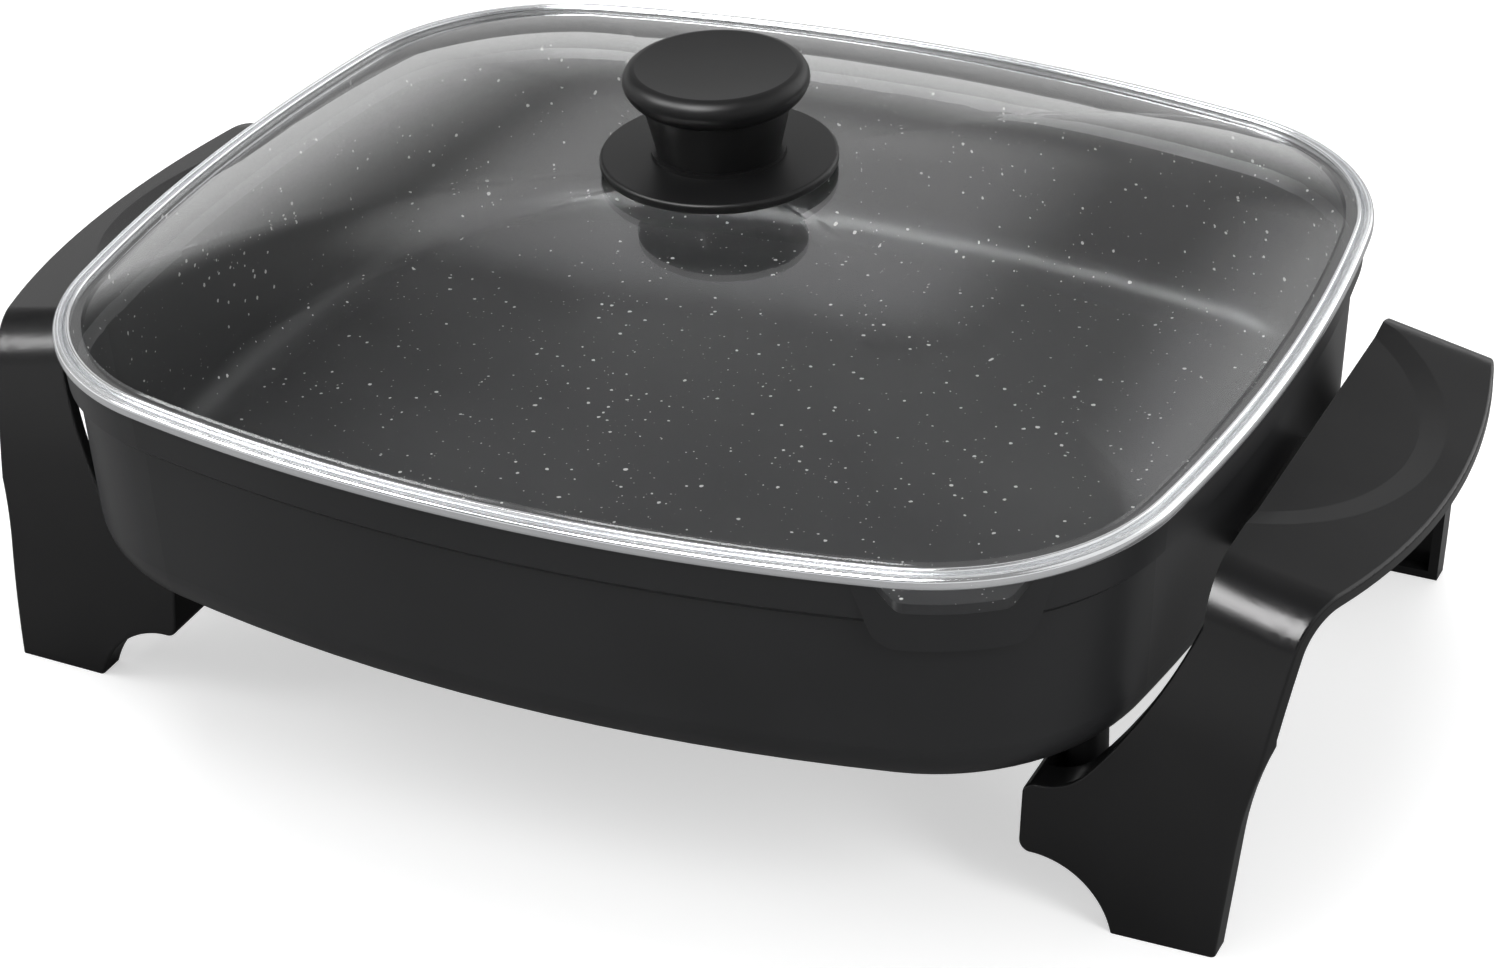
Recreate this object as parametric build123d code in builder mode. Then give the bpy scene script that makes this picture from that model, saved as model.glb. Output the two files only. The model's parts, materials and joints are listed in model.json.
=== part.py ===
from build123d import *
from math import asin, cos, degrees, hypot, radians, sin, sqrt
import os

os.makedirs("parts", exist_ok=True)

# Electric skillet, in millimetres. The origin is on the table under the middle of the pan,
# +X points to the right handle, +Y to the back and +Z up. The heat controller is plugged in
# under the left handle.

# ---------------------------------------------------------------- driving dimensions

# Plan outline of the lid rim: four bowed sides joined by round corners
rim_half_length = 203.0
rim_half_width = 180.0
front_bow_radius = 610.0
side_bow_radius = 690.0
corner_radius = 84.0

# Pan
pan_depth = 80.0
pan_clearance = 60.0
pan_wall = 3.0
pan_floor = 4.0
pan_lower_radius = 18.0
lid_overhang = 2.0
rim_band_height = 13.0
rim_band_draft = 1.0
shoulder_step = 3.0
shoulder_height = 3.0
wall_draft = 3.0
rim_edge_radius = 0.8

# Pour spout in the front right corner
spout_angle = -63.0
spout_width = 42.0
spout_depth = 9.0
spout_fall = 3.0
spout_side_lean = 4.0
spout_pad_depth = 22.0
spout_pad_margin = 6.0
spout_pad_radius = 9.0
spout_corner_radius = 4.0
spout_lip = 0.6
spout_inner_reach = 17.0
spout_outer_reach = 8.5

# Handles with their legs
handle_gap = 4.0
handle_depth = 49.0
handle_plan_radius = 270.0
handle_plan_shift = 6.0
handle_top_z = 111.5
handle_top_inset = 11.0
handle_slope = 0.22
handle_wall = 4.0
bend_half_span = 76.0
bend_radius = 22.0
bend_angle = 22.0
leg_bow_radius = 380.0
leg_return_depth = 8.5
leg_return_height = 70.0
leg_return_wall = 3.5
foot_inner_inset = 68.0
foot_outer_inset = 33.5
foot_floor = 4.0
leg_waist_inset = 30.0
leg_waist_z = 40.0
leg_flare_z = 112.0
leg_tab_reach = 31.7
leg_tab_low_z = 21.8
leg_tab_high_z = 46.0
leg_tab_depth = 40.0
leg_tab_edge_radius = 1.0
leg_tab_corner_radius = 4.0
leg_notch_bulge = 5.6
leg_hug_inset = 5.2
leg_hug_low_radius = 20.0
leg_hug_low_angle = 50.0
leg_hug_high_angle = 70.0
handle_edge_radius = 1.5
thumb_rest_radius = 81.0
thumb_rest_margin = 7.5
thumb_rest_edge = 8.5
thumb_rest_shift = 10.6
thumb_rest_depth = 1.6

# Screwed joints between the pan and the handles
lug_length = 64.0
lug_depth = 21.0
lug_top_z = 98.0
lug_thickness = 6.0
handle_boss_radius = 6.5
handle_screw_inset = 10.0
handle_screw_spacing = 44.0
spacer_thickness = 1.5
spacer_overhang = 1.5
leg_boss_radius = 7.0
leg_boss_inset = 11.0
leg_boss_y = 90.0
leg_shelf_top_z = 38.5
leg_shelf_thickness = 4.0
screw_radius = 2.0
screw_head_radius = 4.0
screw_head_height = 3.0
screw_slot_width = 1.2
screw_slot_depth = 1.2
screw_grip = 9.0
washer_radius = 5.0
washer_thickness = 0.8
screw_clearance = 0.4
thread_clearance = 0.05
screw_tip_gap = 1.0
cut_over = 1.0

# Heating element cast in a rib under the pan floor
element_radius = 3.3
element_z = 53.0
element_end_inset = 78.0
element_side_inset = 80.0
element_corner_radius = 45.0
element_entry_radius = 12.0
element_rib_half_width = 7.0
element_rib_low_z = 47.5
element_clearance = 0.05

# Terminals and their guard
terminal_half_spacing = 16.0
terminal_inset = 13.0
terminal_block_half_width = 30.0
terminal_block_low_z = 44.0
terminal_block_high_z = 70.0
terminal_block_length = 58.0
pin_radius = 2.4
pin_length = 28.0
pin_tip_radius = 1.0
bushing_radius = 5.5
bushing_length = 10.0
bushing_seat = 6.0
guard_length = 24.0
guard_half_width = 34.0
guard_half_height = 12.5
guard_wall = 3.0
guard_corner_radius = 4.0
guard_screw_y = 25.5
guard_screw_head_radius = 2.8
guard_screw_head_height = 1.4
guard_screw_radius = 1.6
guard_screw_length = 10.0
small_slot_width = 0.6
small_slot_depth = 0.6

# Lid
lid_seat_gap = 0.1
band_height = 4.8
band_sheet = 0.7
band_top_width = 6.0
band_bottom_width = 6.0
band_edge_radius = 1.6
glass_thickness = 3.3
glass_edge_inset = 1.0
dome_edge_inset = 9.5
dome_rise = 33.3
dome_power = 2.4
dome_top_share = 0.12
dome_steps = 7
glass_hole_radius = 4.25

# Knob
knob_gasket_radius = 12.0
knob_gasket_thickness = 1.0
shield_radius = 39.9
shield_edge = 3.6
shield_edge_radius = 1.2
shield_rise = 0.6
shield_collar_radius = 22.6
shield_collar_height = 1.4
knob_neck_low_radius = 20.8
knob_neck_high_radius = 24.9
knob_neck_height = 17.5
knob_cap_radius = 31.0
knob_cap_flare = 6.5
knob_cap_crown = 5.5
knob_dish_radius = 26.8
knob_dish_depth = 1.4
insert_radius = 5.0
insert_height = 14.0
knob_screw_radius = 2.5
knob_screw_head_radius = 5.5
knob_screw_head_height = 2.6
knob_washer_radius = 10.0
knob_washer_thickness = 1.2

# Heat controller
controller_length = 25.0
controller_half_width = 36.0
controller_half_height = 22.0
controller_wall = 2.2
controller_corner_radius = 7.0
controller_edge_radius = 2.0
controller_gap = 2.0
nose_clearance = 0.7
nose_tip_gap = 3.4
nose_flange = 2.4
nose_flange_margin = 1.6
nose_tail = 3.0
nose_tail_half_width = 12.0
probe_radius = 3.5
probe_depth = 54.0
probe_tip_gap = 1.0
probe_fit = 0.08
sleeve_wall = 1.1
sleeve_fit = 0.08
sleeve_gap = 0.6
pillar_radius = 3.3
pillar_x_inset = 9.0
pillar_y = 26.0
housing_screw_radius = 1.5
housing_screw_head_radius = 2.6
housing_screw_head_height = 1.8
housing_screw_reach = 6.0
gland_bore_radius = 3.2
gland_radius = 5.0
gland_flange_radius = 6.4
gland_flange_thickness = 2.0
gland_reach = 4.0
gland_y = 26.5
gland_drop = 11.0
lens_radius = 3.0
lens_flange_radius = 4.2
lens_flange_thickness = 1.0
lens_height = 1.8
lamp_radius = 2.4
lamp_length = 10.0
lamp_y = -20.0
lamp_from_back = 8.0

# Thermostat inside the controller
frame_half_width = 9.0
frame_half_height = 14.0
frame_thickness = 1.4
blade_thickness = 0.6
blade_half_width = 4.0
blade_gap = 2.2
blade_length = 24.0
spacer_block_height = 6.0
contact_radius = 1.8
rivet_radius = 1.2

# Dial and its shaft
dial_radius = 20.0
dial_depth = 13.0
dial_gap = 0.6
dial_grip_half_width = 3.5
dial_grip_inset = 1.2
dial_plate_depth = 4.0
dial_edge_radius = 1.0
shaft_radius = 3.0
shaft_fit = 0.05
shaft_blade_gap = 0.3
shaft_collar_radius = 4.6
shaft_collar_length = 1.6

# ---------------------------------------------------------------- derived places

floor_z = pan_clearance
rim_z = floor_z + pan_depth
band_low_z = rim_z - rim_band_height
shoulder_low_z = band_low_z - shoulder_height
rim_inset = lid_overhang
band_low_inset = rim_inset + rim_band_draft
wall_inset = band_low_inset + shoulder_step
base_inset = wall_inset + wall_draft
cavity_floor_z = floor_z + pan_floor
element_half_length = rim_half_length - element_end_inset
element_half_width = rim_half_width - element_side_inset
terminal_face_x = terminal_inset - rim_half_length
handle_inner_x = rim_half_length + handle_gap
handle_reach = handle_inner_x + handle_depth
handle_top_x = handle_reach - handle_top_inset
foot_inner_x = handle_reach - foot_inner_inset
foot_outer_x = handle_reach - foot_outer_inset
leg_waist_x = handle_reach - leg_waist_inset
leg_tab_x = foot_inner_x - leg_tab_reach
leg_hug_start_x = leg_tab_x + leg_hug_inset
leg_boss_x = leg_tab_x + leg_boss_inset
lug_reach = handle_inner_x + lug_depth
handle_screw_x = handle_inner_x + handle_screw_inset
thumb_rest_x = handle_reach - thumb_rest_margin - thumb_rest_radius

# Centres of the bow arcs and of the corner arc that touches both, in the first quadrant
front_centre = (0.0, rim_half_width - front_bow_radius)
side_centre = (rim_half_length - side_bow_radius, 0.0)
front_span = front_bow_radius - corner_radius
side_span = side_bow_radius - corner_radius
centre_gap = hypot(side_centre[0] - front_centre[0], side_centre[1] - front_centre[1])
along_gap = (front_span**2 - side_span**2 + centre_gap**2) / (2 * centre_gap)
across_gap = sqrt(front_span**2 - along_gap**2)
gap_direction = (
    (side_centre[0] - front_centre[0]) / centre_gap,
    (side_centre[1] - front_centre[1]) / centre_gap,
)
corner_centre = (
    front_centre[0] + gap_direction[0] * along_gap - gap_direction[1] * across_gap,
    front_centre[1] + gap_direction[1] * along_gap + gap_direction[0] * across_gap,
)
if corner_centre[0] < 0:
    corner_centre = (
        front_centre[0] + gap_direction[0] * along_gap + gap_direction[1] * across_gap,
        front_centre[1] + gap_direction[1] * along_gap - gap_direction[0] * across_gap,
    )


def away(centre, radius):
    # The point at a radius from a centre, on the line through the corner arc's centre
    dx = corner_centre[0] - centre[0]
    dy = corner_centre[1] - centre[1]
    return (centre[0] + dx * radius / hypot(dx, dy), centre[1] + dy * radius / hypot(dx, dy))


def rim_outline(inset, share=1.0):
    # The rim's plan outline, moved inwards by an inset and then scaled by a share
    top = away(front_centre, front_bow_radius - inset)
    side = away(side_centre, side_bow_radius - inset)
    turn = radians(45)
    mid_radius = corner_radius - inset
    mid = (corner_centre[0] + mid_radius * cos(turn), corner_centre[1] + mid_radius * sin(turn))
    crown = (0.0, rim_half_width - inset)
    flank = (rim_half_length - inset, 0.0)

    def at(point, sx, sy):
        return (point[0] * sx * share, point[1] * sy * share)

    with BuildSketch(Plane.XY, mode=Mode.PRIVATE) as plan:
        with BuildLine():
            ThreePointArc(at(top, -1, 1), at(crown, 1, 1), at(top, 1, 1))
            ThreePointArc(at(top, 1, 1), at(mid, 1, 1), at(side, 1, 1))
            ThreePointArc(at(side, 1, 1), at(flank, 1, 1), at(side, 1, -1))
            ThreePointArc(at(side, 1, -1), at(mid, 1, -1), at(top, 1, -1))
            ThreePointArc(at(top, 1, -1), at(crown, 1, -1), at(top, -1, -1))
            ThreePointArc(at(top, -1, -1), at(mid, -1, -1), at(side, -1, -1))
            ThreePointArc(at(side, -1, -1), at(flank, -1, 1), at(side, -1, 1))
            ThreePointArc(at(side, -1, 1), at(mid, -1, 1), at(top, -1, 1))
        make_face()
    return plan.sketch


# ---------------------------------------------------------------- pan

# The cooking well, which is cut out of the pan
with BuildPart() as pan_well:
    with BuildSketch(Plane.XY.offset(cavity_floor_z)):
        add(rim_outline(base_inset + pan_wall))
    with BuildSketch(Plane.XY.offset(shoulder_low_z)):
        add(rim_outline(wall_inset + pan_wall))
    loft(ruled=True)
    fillet(pan_well.edges().group_by(Axis.Z)[0], pan_lower_radius - pan_wall)
    with BuildSketch(Plane.XY.offset(shoulder_low_z)):
        add(rim_outline(wall_inset + pan_wall))
    with BuildSketch(Plane.XY.offset(band_low_z)):
        add(rim_outline(band_low_inset + pan_wall))
    loft(ruled=True)
    with BuildSketch(Plane.XY.offset(band_low_z)):
        add(rim_outline(band_low_inset + pan_wall))
    with BuildSketch(Plane.XY.offset(rim_z)):
        add(rim_outline(rim_inset + pan_wall))
    loft(ruled=True)

# Path of the heating element: in at one terminal, round the floor and out at the other
element_start_x = terminal_face_x + bushing_seat
element_points = [
    (element_start_x, -terminal_half_spacing, element_z),
    (-element_half_length, -terminal_half_spacing, element_z),
    (-element_half_length, -element_half_width, element_z),
    (element_half_length, -element_half_width, element_z),
    (element_half_length, element_half_width, element_z),
    (-element_half_length, element_half_width, element_z),
    (-element_half_length, terminal_half_spacing, element_z),
    (element_start_x, terminal_half_spacing, element_z),
]
element_turns = [element_entry_radius] + [element_corner_radius] * 4 + [element_entry_radius]

# The heating element's sheath, and the bore that the pan is cast round it with
with BuildPart() as heating_element:
    with BuildLine() as element_path:
        FilletPolyline(*element_points, radius=element_turns)
    with BuildSketch(Plane(origin=element_path.line @ 0, z_dir=element_path.line % 0)):
        Circle(element_radius)
    sweep()

with BuildPart() as element_bore:
    with BuildLine() as bore_path:
        FilletPolyline(*element_points, radius=element_turns)
    with BuildSketch(Plane(origin=bore_path.line @ 0, z_dir=bore_path.line % 0)):
        Circle(element_radius + element_clearance)
    sweep()

# The spout stands where a ray from the corner arc's centre leaves the rim
spout_turn = radians(spout_angle)
spout_out = (cos(spout_turn), sin(spout_turn))
spout_mid = (
    corner_centre[0] + (corner_radius - rim_inset) * spout_out[0],
    -corner_centre[1] + (corner_radius - rim_inset) * spout_out[1],
)
spout_half = spout_width / 2
spout_low_z = rim_z - spout_depth


def spout_plane(reach):
    # A standing plane across the spout, a reach outside the rim; its local y is the height
    return Plane(
        origin=(spout_mid[0] + reach * spout_out[0], spout_mid[1] + reach * spout_out[1], 0),
        x_dir=(-spout_out[1], spout_out[0], 0),
        z_dir=(spout_out[0], spout_out[1], 0),
    )


def spout_section(half, low_z, high_z, corner):
    # A trough section with leaning sides and round lower corners
    with BuildSketch(Plane.XY, mode=Mode.PRIVATE) as trough:
        with BuildLine():
            Polyline(
                (-half - spout_side_lean, high_z),
                (-half + spout_side_lean, low_z),
                (half - spout_side_lean, low_z),
                (half + spout_side_lean, high_z),
                close=True,
            )
        make_face()
        fillet(trough.vertices().group_by(Axis.Y)[0], corner)
    return trough.sketch


with BuildPart() as spout_pad:
    with BuildSketch(spout_plane(-spout_inner_reach)):
        pad_low_z = rim_z - spout_pad_depth
        add(spout_section(spout_half + spout_pad_margin, pad_low_z, rim_z, spout_pad_radius))
    extrude(amount=spout_inner_reach + spout_outer_reach)
    with BuildSketch(Plane.XY.offset(pad_low_z)):
        with Locations((corner_centre[0], -corner_centre[1])):
            Circle(corner_radius - rim_inset + spout_lip)
    extrude(amount=spout_pad_depth, mode=Mode.INTERSECT)

with BuildPart() as spout_trough:
    with BuildSketch(spout_plane(-spout_inner_reach)):
        add(spout_section(spout_half, spout_low_z + spout_fall, rim_z + cut_over, spout_corner_radius))
    with BuildSketch(spout_plane(spout_inner_reach)):
        add(spout_section(spout_half, spout_low_z - spout_fall, rim_z + cut_over, spout_corner_radius))
    loft(ruled=True)

# Places of the screwed joints, on both sides
handle_screw_half = handle_screw_spacing / 2
leg_boss_places = [
    (sx * leg_boss_x, sy * leg_boss_y) for sx in (-1, 1) for sy in (-1, 1)
]
handle_screw_places = [
    (sx * handle_screw_x, sy * handle_screw_half) for sx in (-1, 1) for sy in (-1, 1)
]
leg_screw_seat_z = leg_shelf_top_z - leg_shelf_thickness
lug_low_z = lug_top_z - lug_thickness
lug_root_x = rim_half_length - base_inset - pan_wall
terminal_places = [(terminal_face_x, -terminal_half_spacing), (terminal_face_x, terminal_half_spacing)]
guard_screw_places = [(terminal_face_x, -guard_screw_y), (terminal_face_x, guard_screw_y)]
probe_fit_radius = probe_radius + probe_fit

with BuildPart() as pan:
    with BuildSketch(Plane.XY.offset(floor_z)):
        add(rim_outline(base_inset))
    with BuildSketch(Plane.XY.offset(shoulder_low_z)):
        add(rim_outline(wall_inset))
    loft(ruled=True)
    fillet(pan.edges().group_by(Axis.Z)[0], pan_lower_radius)
    with BuildSketch(Plane.XY.offset(shoulder_low_z)):
        add(rim_outline(wall_inset))
    with BuildSketch(Plane.XY.offset(band_low_z)):
        add(rim_outline(band_low_inset))
    loft(ruled=True)
    with BuildSketch(Plane.XY.offset(band_low_z)):
        add(rim_outline(band_low_inset))
    with BuildSketch(Plane.XY.offset(rim_z)):
        add(rim_outline(rim_inset))
    loft(ruled=True)
    fillet(pan.edges().group_by(Axis.Z)[-1], rim_edge_radius)
    add(spout_pad.part)
    # Lugs that the handles are screwed to
    with Locations((-lug_root_x, 0, lug_low_z), (lug_root_x, 0, lug_low_z)):
        Box(
            2 * (lug_reach - lug_root_x),
            lug_length,
            lug_thickness,
            align=(Align.CENTER, Align.CENTER, Align.MIN),
        )
    # Bosses under the corners that the legs are screwed to
    with Locations(*[(x, y, leg_shelf_top_z) for x, y in leg_boss_places]):
        Cylinder(
            leg_boss_radius,
            cavity_floor_z - pan_floor / 2 - leg_shelf_top_z,
            align=(Align.CENTER, Align.CENTER, Align.MIN),
        )
    # Block that carries the terminals and the probe's well
    with Locations((terminal_face_x, 0, terminal_block_low_z)):
        Box(
            terminal_block_length,
            2 * terminal_block_half_width,
            terminal_block_high_z - terminal_block_low_z,
            align=(Align.MIN, Align.CENTER, Align.MIN),
        )
    # Rib round the heating element
    with BuildSketch(Plane.XY.offset(element_rib_low_z)):
        RectangleRounded(
            2 * (element_half_length + element_rib_half_width),
            2 * (element_half_width + element_rib_half_width),
            element_corner_radius + element_rib_half_width,
        )
        RectangleRounded(
            2 * (element_half_length - element_rib_half_width),
            2 * (element_half_width - element_rib_half_width),
            element_corner_radius - element_rib_half_width,
            mode=Mode.SUBTRACT,
        )
    extrude(amount=floor_z + pan_floor / 2 - element_rib_low_z)
    add(pan_well.part, mode=Mode.SUBTRACT)
    add(spout_trough.part, mode=Mode.SUBTRACT)
    add(element_bore.part, mode=Mode.SUBTRACT)
    with Locations(*[Location((x, y, element_z), (0, -90, 0)) for x, y in terminal_places]):
        Cylinder(
            bushing_radius + element_clearance,
            2 * bushing_seat,
            mode=Mode.SUBTRACT,
        )
    with Locations(Location((terminal_face_x, 0, element_z), (0, 90, 0))):
        Cylinder(
            probe_fit_radius,
            probe_depth,
            align=(Align.CENTER, Align.CENTER, Align.MIN),
            mode=Mode.SUBTRACT,
        )
    with Locations(*[Location((x, y, element_z), (0, 90, 0)) for x, y in guard_screw_places]):
        Cylinder(
            guard_screw_radius + thread_clearance,
            guard_screw_length,
            align=(Align.CENTER, Align.CENTER, Align.MIN),
            mode=Mode.SUBTRACT,
        )
    with Locations(*[(x, y, leg_shelf_top_z) for x, y in leg_boss_places]):
        Cylinder(
            screw_radius + thread_clearance,
            screw_grip + screw_tip_gap,
            align=(Align.CENTER, Align.CENTER, Align.MIN),
            mode=Mode.SUBTRACT,
        )
    with Locations(*[(x, y, lug_low_z) for x, y in handle_screw_places]):
        Cylinder(
            screw_radius + screw_clearance,
            lug_thickness,
            align=(Align.CENTER, Align.CENTER, Align.MIN),
            mode=Mode.SUBTRACT,
        )

# ---------------------------------------------------------------- handles with legs

# The arched panel is drawn across at the tab's end and pushed out along the sloping top
handle_start_x = leg_tab_x - cut_over
handle_lift = handle_slope * (handle_top_x - handle_start_x)
handle_run = handle_reach + cut_over - handle_start_x
handle_plane = Plane(
    origin=(handle_start_x, 0, handle_lift),
    x_dir=(0, 1, 0),
    z_dir=(1, 0, 0),
)
handle_push = (1, 0, -handle_slope)
handle_push_length = handle_run * hypot(1, handle_slope)
bend_centre_z = handle_top_z - bend_radius
bend_turn = radians(bend_angle)
leg_centre_y = bend_half_span - (leg_bow_radius - bend_radius) * cos(bend_turn)
leg_centre_z = bend_centre_z - (leg_bow_radius - bend_radius) * sin(bend_turn)
arch_low_z = -handle_lift - foot_floor


def bend_point(side, turn, inset):
    radius = bend_radius - inset
    return (side * (bend_half_span + radius * cos(turn)), bend_centre_z + radius * sin(turn))


def leg_point(side, z, inset):
    radius = leg_bow_radius - inset
    rise = z - leg_centre_z
    return (side * (leg_centre_y + sqrt(radius**2 - rise**2)), z)


def arch(inset):
    # The area under the arched panel's outer face, moved inwards by an inset
    top_turn = radians(90)
    mid_turn = (bend_turn + top_turn) / 2
    mid_z = (bend_centre_z + arch_low_z) / 2
    with BuildSketch(Plane.XY, mode=Mode.PRIVATE) as face:
        with BuildLine():
            Line(bend_point(-1, top_turn, inset), bend_point(1, top_turn, inset))
            for side in (-1, 1):
                ThreePointArc(
                    bend_point(side, top_turn, inset),
                    bend_point(side, mid_turn, inset),
                    bend_point(side, bend_turn, inset),
                )
                ThreePointArc(
                    bend_point(side, bend_turn, inset),
                    leg_point(side, mid_z, inset),
                    leg_point(side, arch_low_z, inset),
                )
            Line(leg_point(-1, arch_low_z, inset), leg_point(1, arch_low_z, inset))
        make_face()
    return face.sketch


def arch_block(inset):
    # The solid block under the arched panel's outer face, moved inwards by an inset
    with BuildPart(mode=Mode.PRIVATE) as block:
        with BuildSketch(handle_plane):
            add(arch(inset))
        extrude(amount=handle_push_length, dir=handle_push)
    return block.part


# The panel's outline seen from the front: foot, notch, tab and the curve that hugs the pan
hug_low_turn = radians(leg_hug_low_angle)
hug_high_turn = radians(leg_hug_high_angle)
hug_low_centre = (leg_hug_start_x, leg_tab_high_z + leg_hug_low_radius)


def hug_point(centre, radius, turn):
    return (centre[0] + radius * sin(turn), centre[1] - radius * cos(turn))


hug_mid = hug_point(hug_low_centre, leg_hug_low_radius, hug_low_turn)
hug_high_radius = (handle_inner_x - hug_mid[0]) / (sin(hug_high_turn) - sin(hug_low_turn))
hug_high_centre = (
    hug_mid[0] - hug_high_radius * sin(hug_low_turn),
    hug_mid[1] + hug_high_radius * cos(hug_low_turn),
)
notch_start = (leg_hug_start_x, leg_tab_low_z)
notch_end = (foot_inner_x, 0)
notch_chord = (notch_end[0] - notch_start[0], notch_end[1] - notch_start[1])
notch_length = hypot(notch_chord[0], notch_chord[1])
notch_mid = (
    (notch_start[0] + notch_end[0]) / 2 - leg_notch_bulge * notch_chord[1] / notch_length,
    (notch_start[1] + notch_end[1]) / 2 + leg_notch_bulge * notch_chord[0] / notch_length,
)
front_high_z = rim_z
front_outer_x = handle_reach + 2 * leg_return_wall + cut_over
waist_rise = (leg_waist_x - foot_outer_x, leg_waist_z)


def front_outline(inset):
    # The panel's front outline, moved inwards by an inset
    with BuildSketch(Plane.XY, mode=Mode.PRIVATE) as face:
        with BuildLine():
            Polyline(
                hug_point(hug_high_centre, hug_high_radius, hug_high_turn),
                (handle_inner_x, front_high_z),
                (front_outer_x, front_high_z),
                (front_outer_x, leg_flare_z),
            )
            TangentArc(
                (leg_waist_x, leg_waist_z),
                (front_outer_x, leg_flare_z),
                tangent=waist_rise,
            )
            Polyline((leg_waist_x, leg_waist_z), (foot_outer_x, 0), notch_end)
            ThreePointArc(notch_end, notch_mid, notch_start)
            Polyline(
                notch_start,
                (leg_tab_x, leg_tab_low_z),
                (leg_tab_x, leg_tab_high_z),
                hug_point(hug_low_centre, leg_hug_low_radius, 0),
            )
            ThreePointArc(
                hug_point(hug_low_centre, leg_hug_low_radius, 0),
                hug_point(hug_low_centre, leg_hug_low_radius, hug_low_turn / 2),
                hug_mid,
            )
            ThreePointArc(
                hug_mid,
                hug_point(hug_high_centre, hug_high_radius, (hug_low_turn + hug_high_turn) / 2),
                hug_point(hug_high_centre, hug_high_radius, hug_high_turn),
            )
        make_face()
        fillet(face.vertices().sort_by(Axis.X)[0:2], leg_tab_corner_radius)
        if inset > 0:
            offset(amount=-inset, kind=Kind.INTERSECTION)
    return face.sketch


def front_block(inset):
    # Everything behind the panel's front outline, within the curved outer edge
    with BuildPart(mode=Mode.PRIVATE) as block:
        with BuildSketch(Plane.XZ):
            add(front_outline(inset))
        extrude(amount=handle_reach, both=True)
        with BuildSketch(Plane.XY):
            with Locations((handle_reach - handle_plan_radius, handle_plan_shift)):
                Circle(handle_plan_radius - inset)
        extrude(amount=front_high_z, mode=Mode.INTERSECT)
    return block.part


# The space behind the deep edges of the legs
leg_face_low_y = leg_point(1, 0, 0)[0]
leg_back_low_y = leg_face_low_y - leg_return_depth
leg_back_high_y = leg_point(1, leg_return_height, handle_wall)[0]
arch_slab = arch_block(0)
arch_void = arch_block(handle_wall)
front_full = front_block(0)
front_inner = front_block(leg_return_wall)

with BuildPart() as leg_space:
    with BuildSketch(Plane.YZ.offset(handle_start_x - cut_over)):
        with BuildLine():
            Polyline(
                (-leg_back_low_y, -foot_floor),
                (-leg_back_low_y, 0),
                (-leg_back_high_y, leg_return_height),
                (-leg_back_high_y, front_high_z),
                (leg_back_high_y, front_high_z),
                (leg_back_high_y, leg_return_height),
                (leg_back_low_y, 0),
                (leg_back_low_y, -foot_floor),
                close=True,
            )
        make_face()
    extrude(amount=handle_run + 2 * cut_over)
    add(arch_void, mode=Mode.INTERSECT)

# What is left of the tabs inside the panel: an end wall and a shelf for each leg
tab_mid_y = leg_face_low_y - leg_tab_depth / 2
with BuildPart() as leg_tabs:
    with Locations((leg_tab_x, -tab_mid_y, 0), (leg_tab_x, tab_mid_y, 0)):
        Box(
            leg_return_wall,
            leg_tab_depth,
            leg_tab_high_z,
            align=(Align.MIN, Align.CENTER, Align.MIN),
        )
    with Locations((leg_tab_x, -tab_mid_y, leg_screw_seat_z), (leg_tab_x, tab_mid_y, leg_screw_seat_z)):
        Box(
            foot_inner_x - leg_tab_x,
            leg_tab_depth,
            leg_shelf_thickness,
            align=(Align.MIN, Align.CENTER, Align.MIN),
        )
    add(arch_void, mode=Mode.INTERSECT)
    add(front_full, mode=Mode.INTERSECT)

with BuildPart() as handle_bosses:
    with Locations(
        (handle_screw_x, -handle_screw_half, lug_top_z + spacer_thickness),
        (handle_screw_x, handle_screw_half, lug_top_z + spacer_thickness),
    ):
        Cylinder(
            handle_boss_radius,
            rim_z - lug_top_z,
            align=(Align.CENTER, Align.CENTER, Align.MIN),
        )
    add(arch_void, mode=Mode.INTERSECT)

# The shallow half-moon where the thumb rests
rest_plane = Plane(
    origin=(thumb_rest_x, thumb_rest_shift, handle_top_z + handle_slope * (handle_top_x - thumb_rest_x)),
    x_dir=(1, 0, -handle_slope),
    z_dir=(handle_slope, 0, 1),
)
with BuildPart() as thumb_rest:
    with BuildSketch(rest_plane.offset(-thumb_rest_depth)):
        Circle(thumb_rest_radius - thumb_rest_edge)
    with BuildSketch(rest_plane.offset(cut_over)):
        Circle(thumb_rest_radius + thumb_rest_edge * cut_over / thumb_rest_depth)
    loft()

# The hollow inside the panel's walls
with BuildPart() as handle_hollow:
    add(arch_void)
    add(leg_space.part, mode=Mode.SUBTRACT)
    add(front_inner, mode=Mode.INTERSECT)

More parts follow.
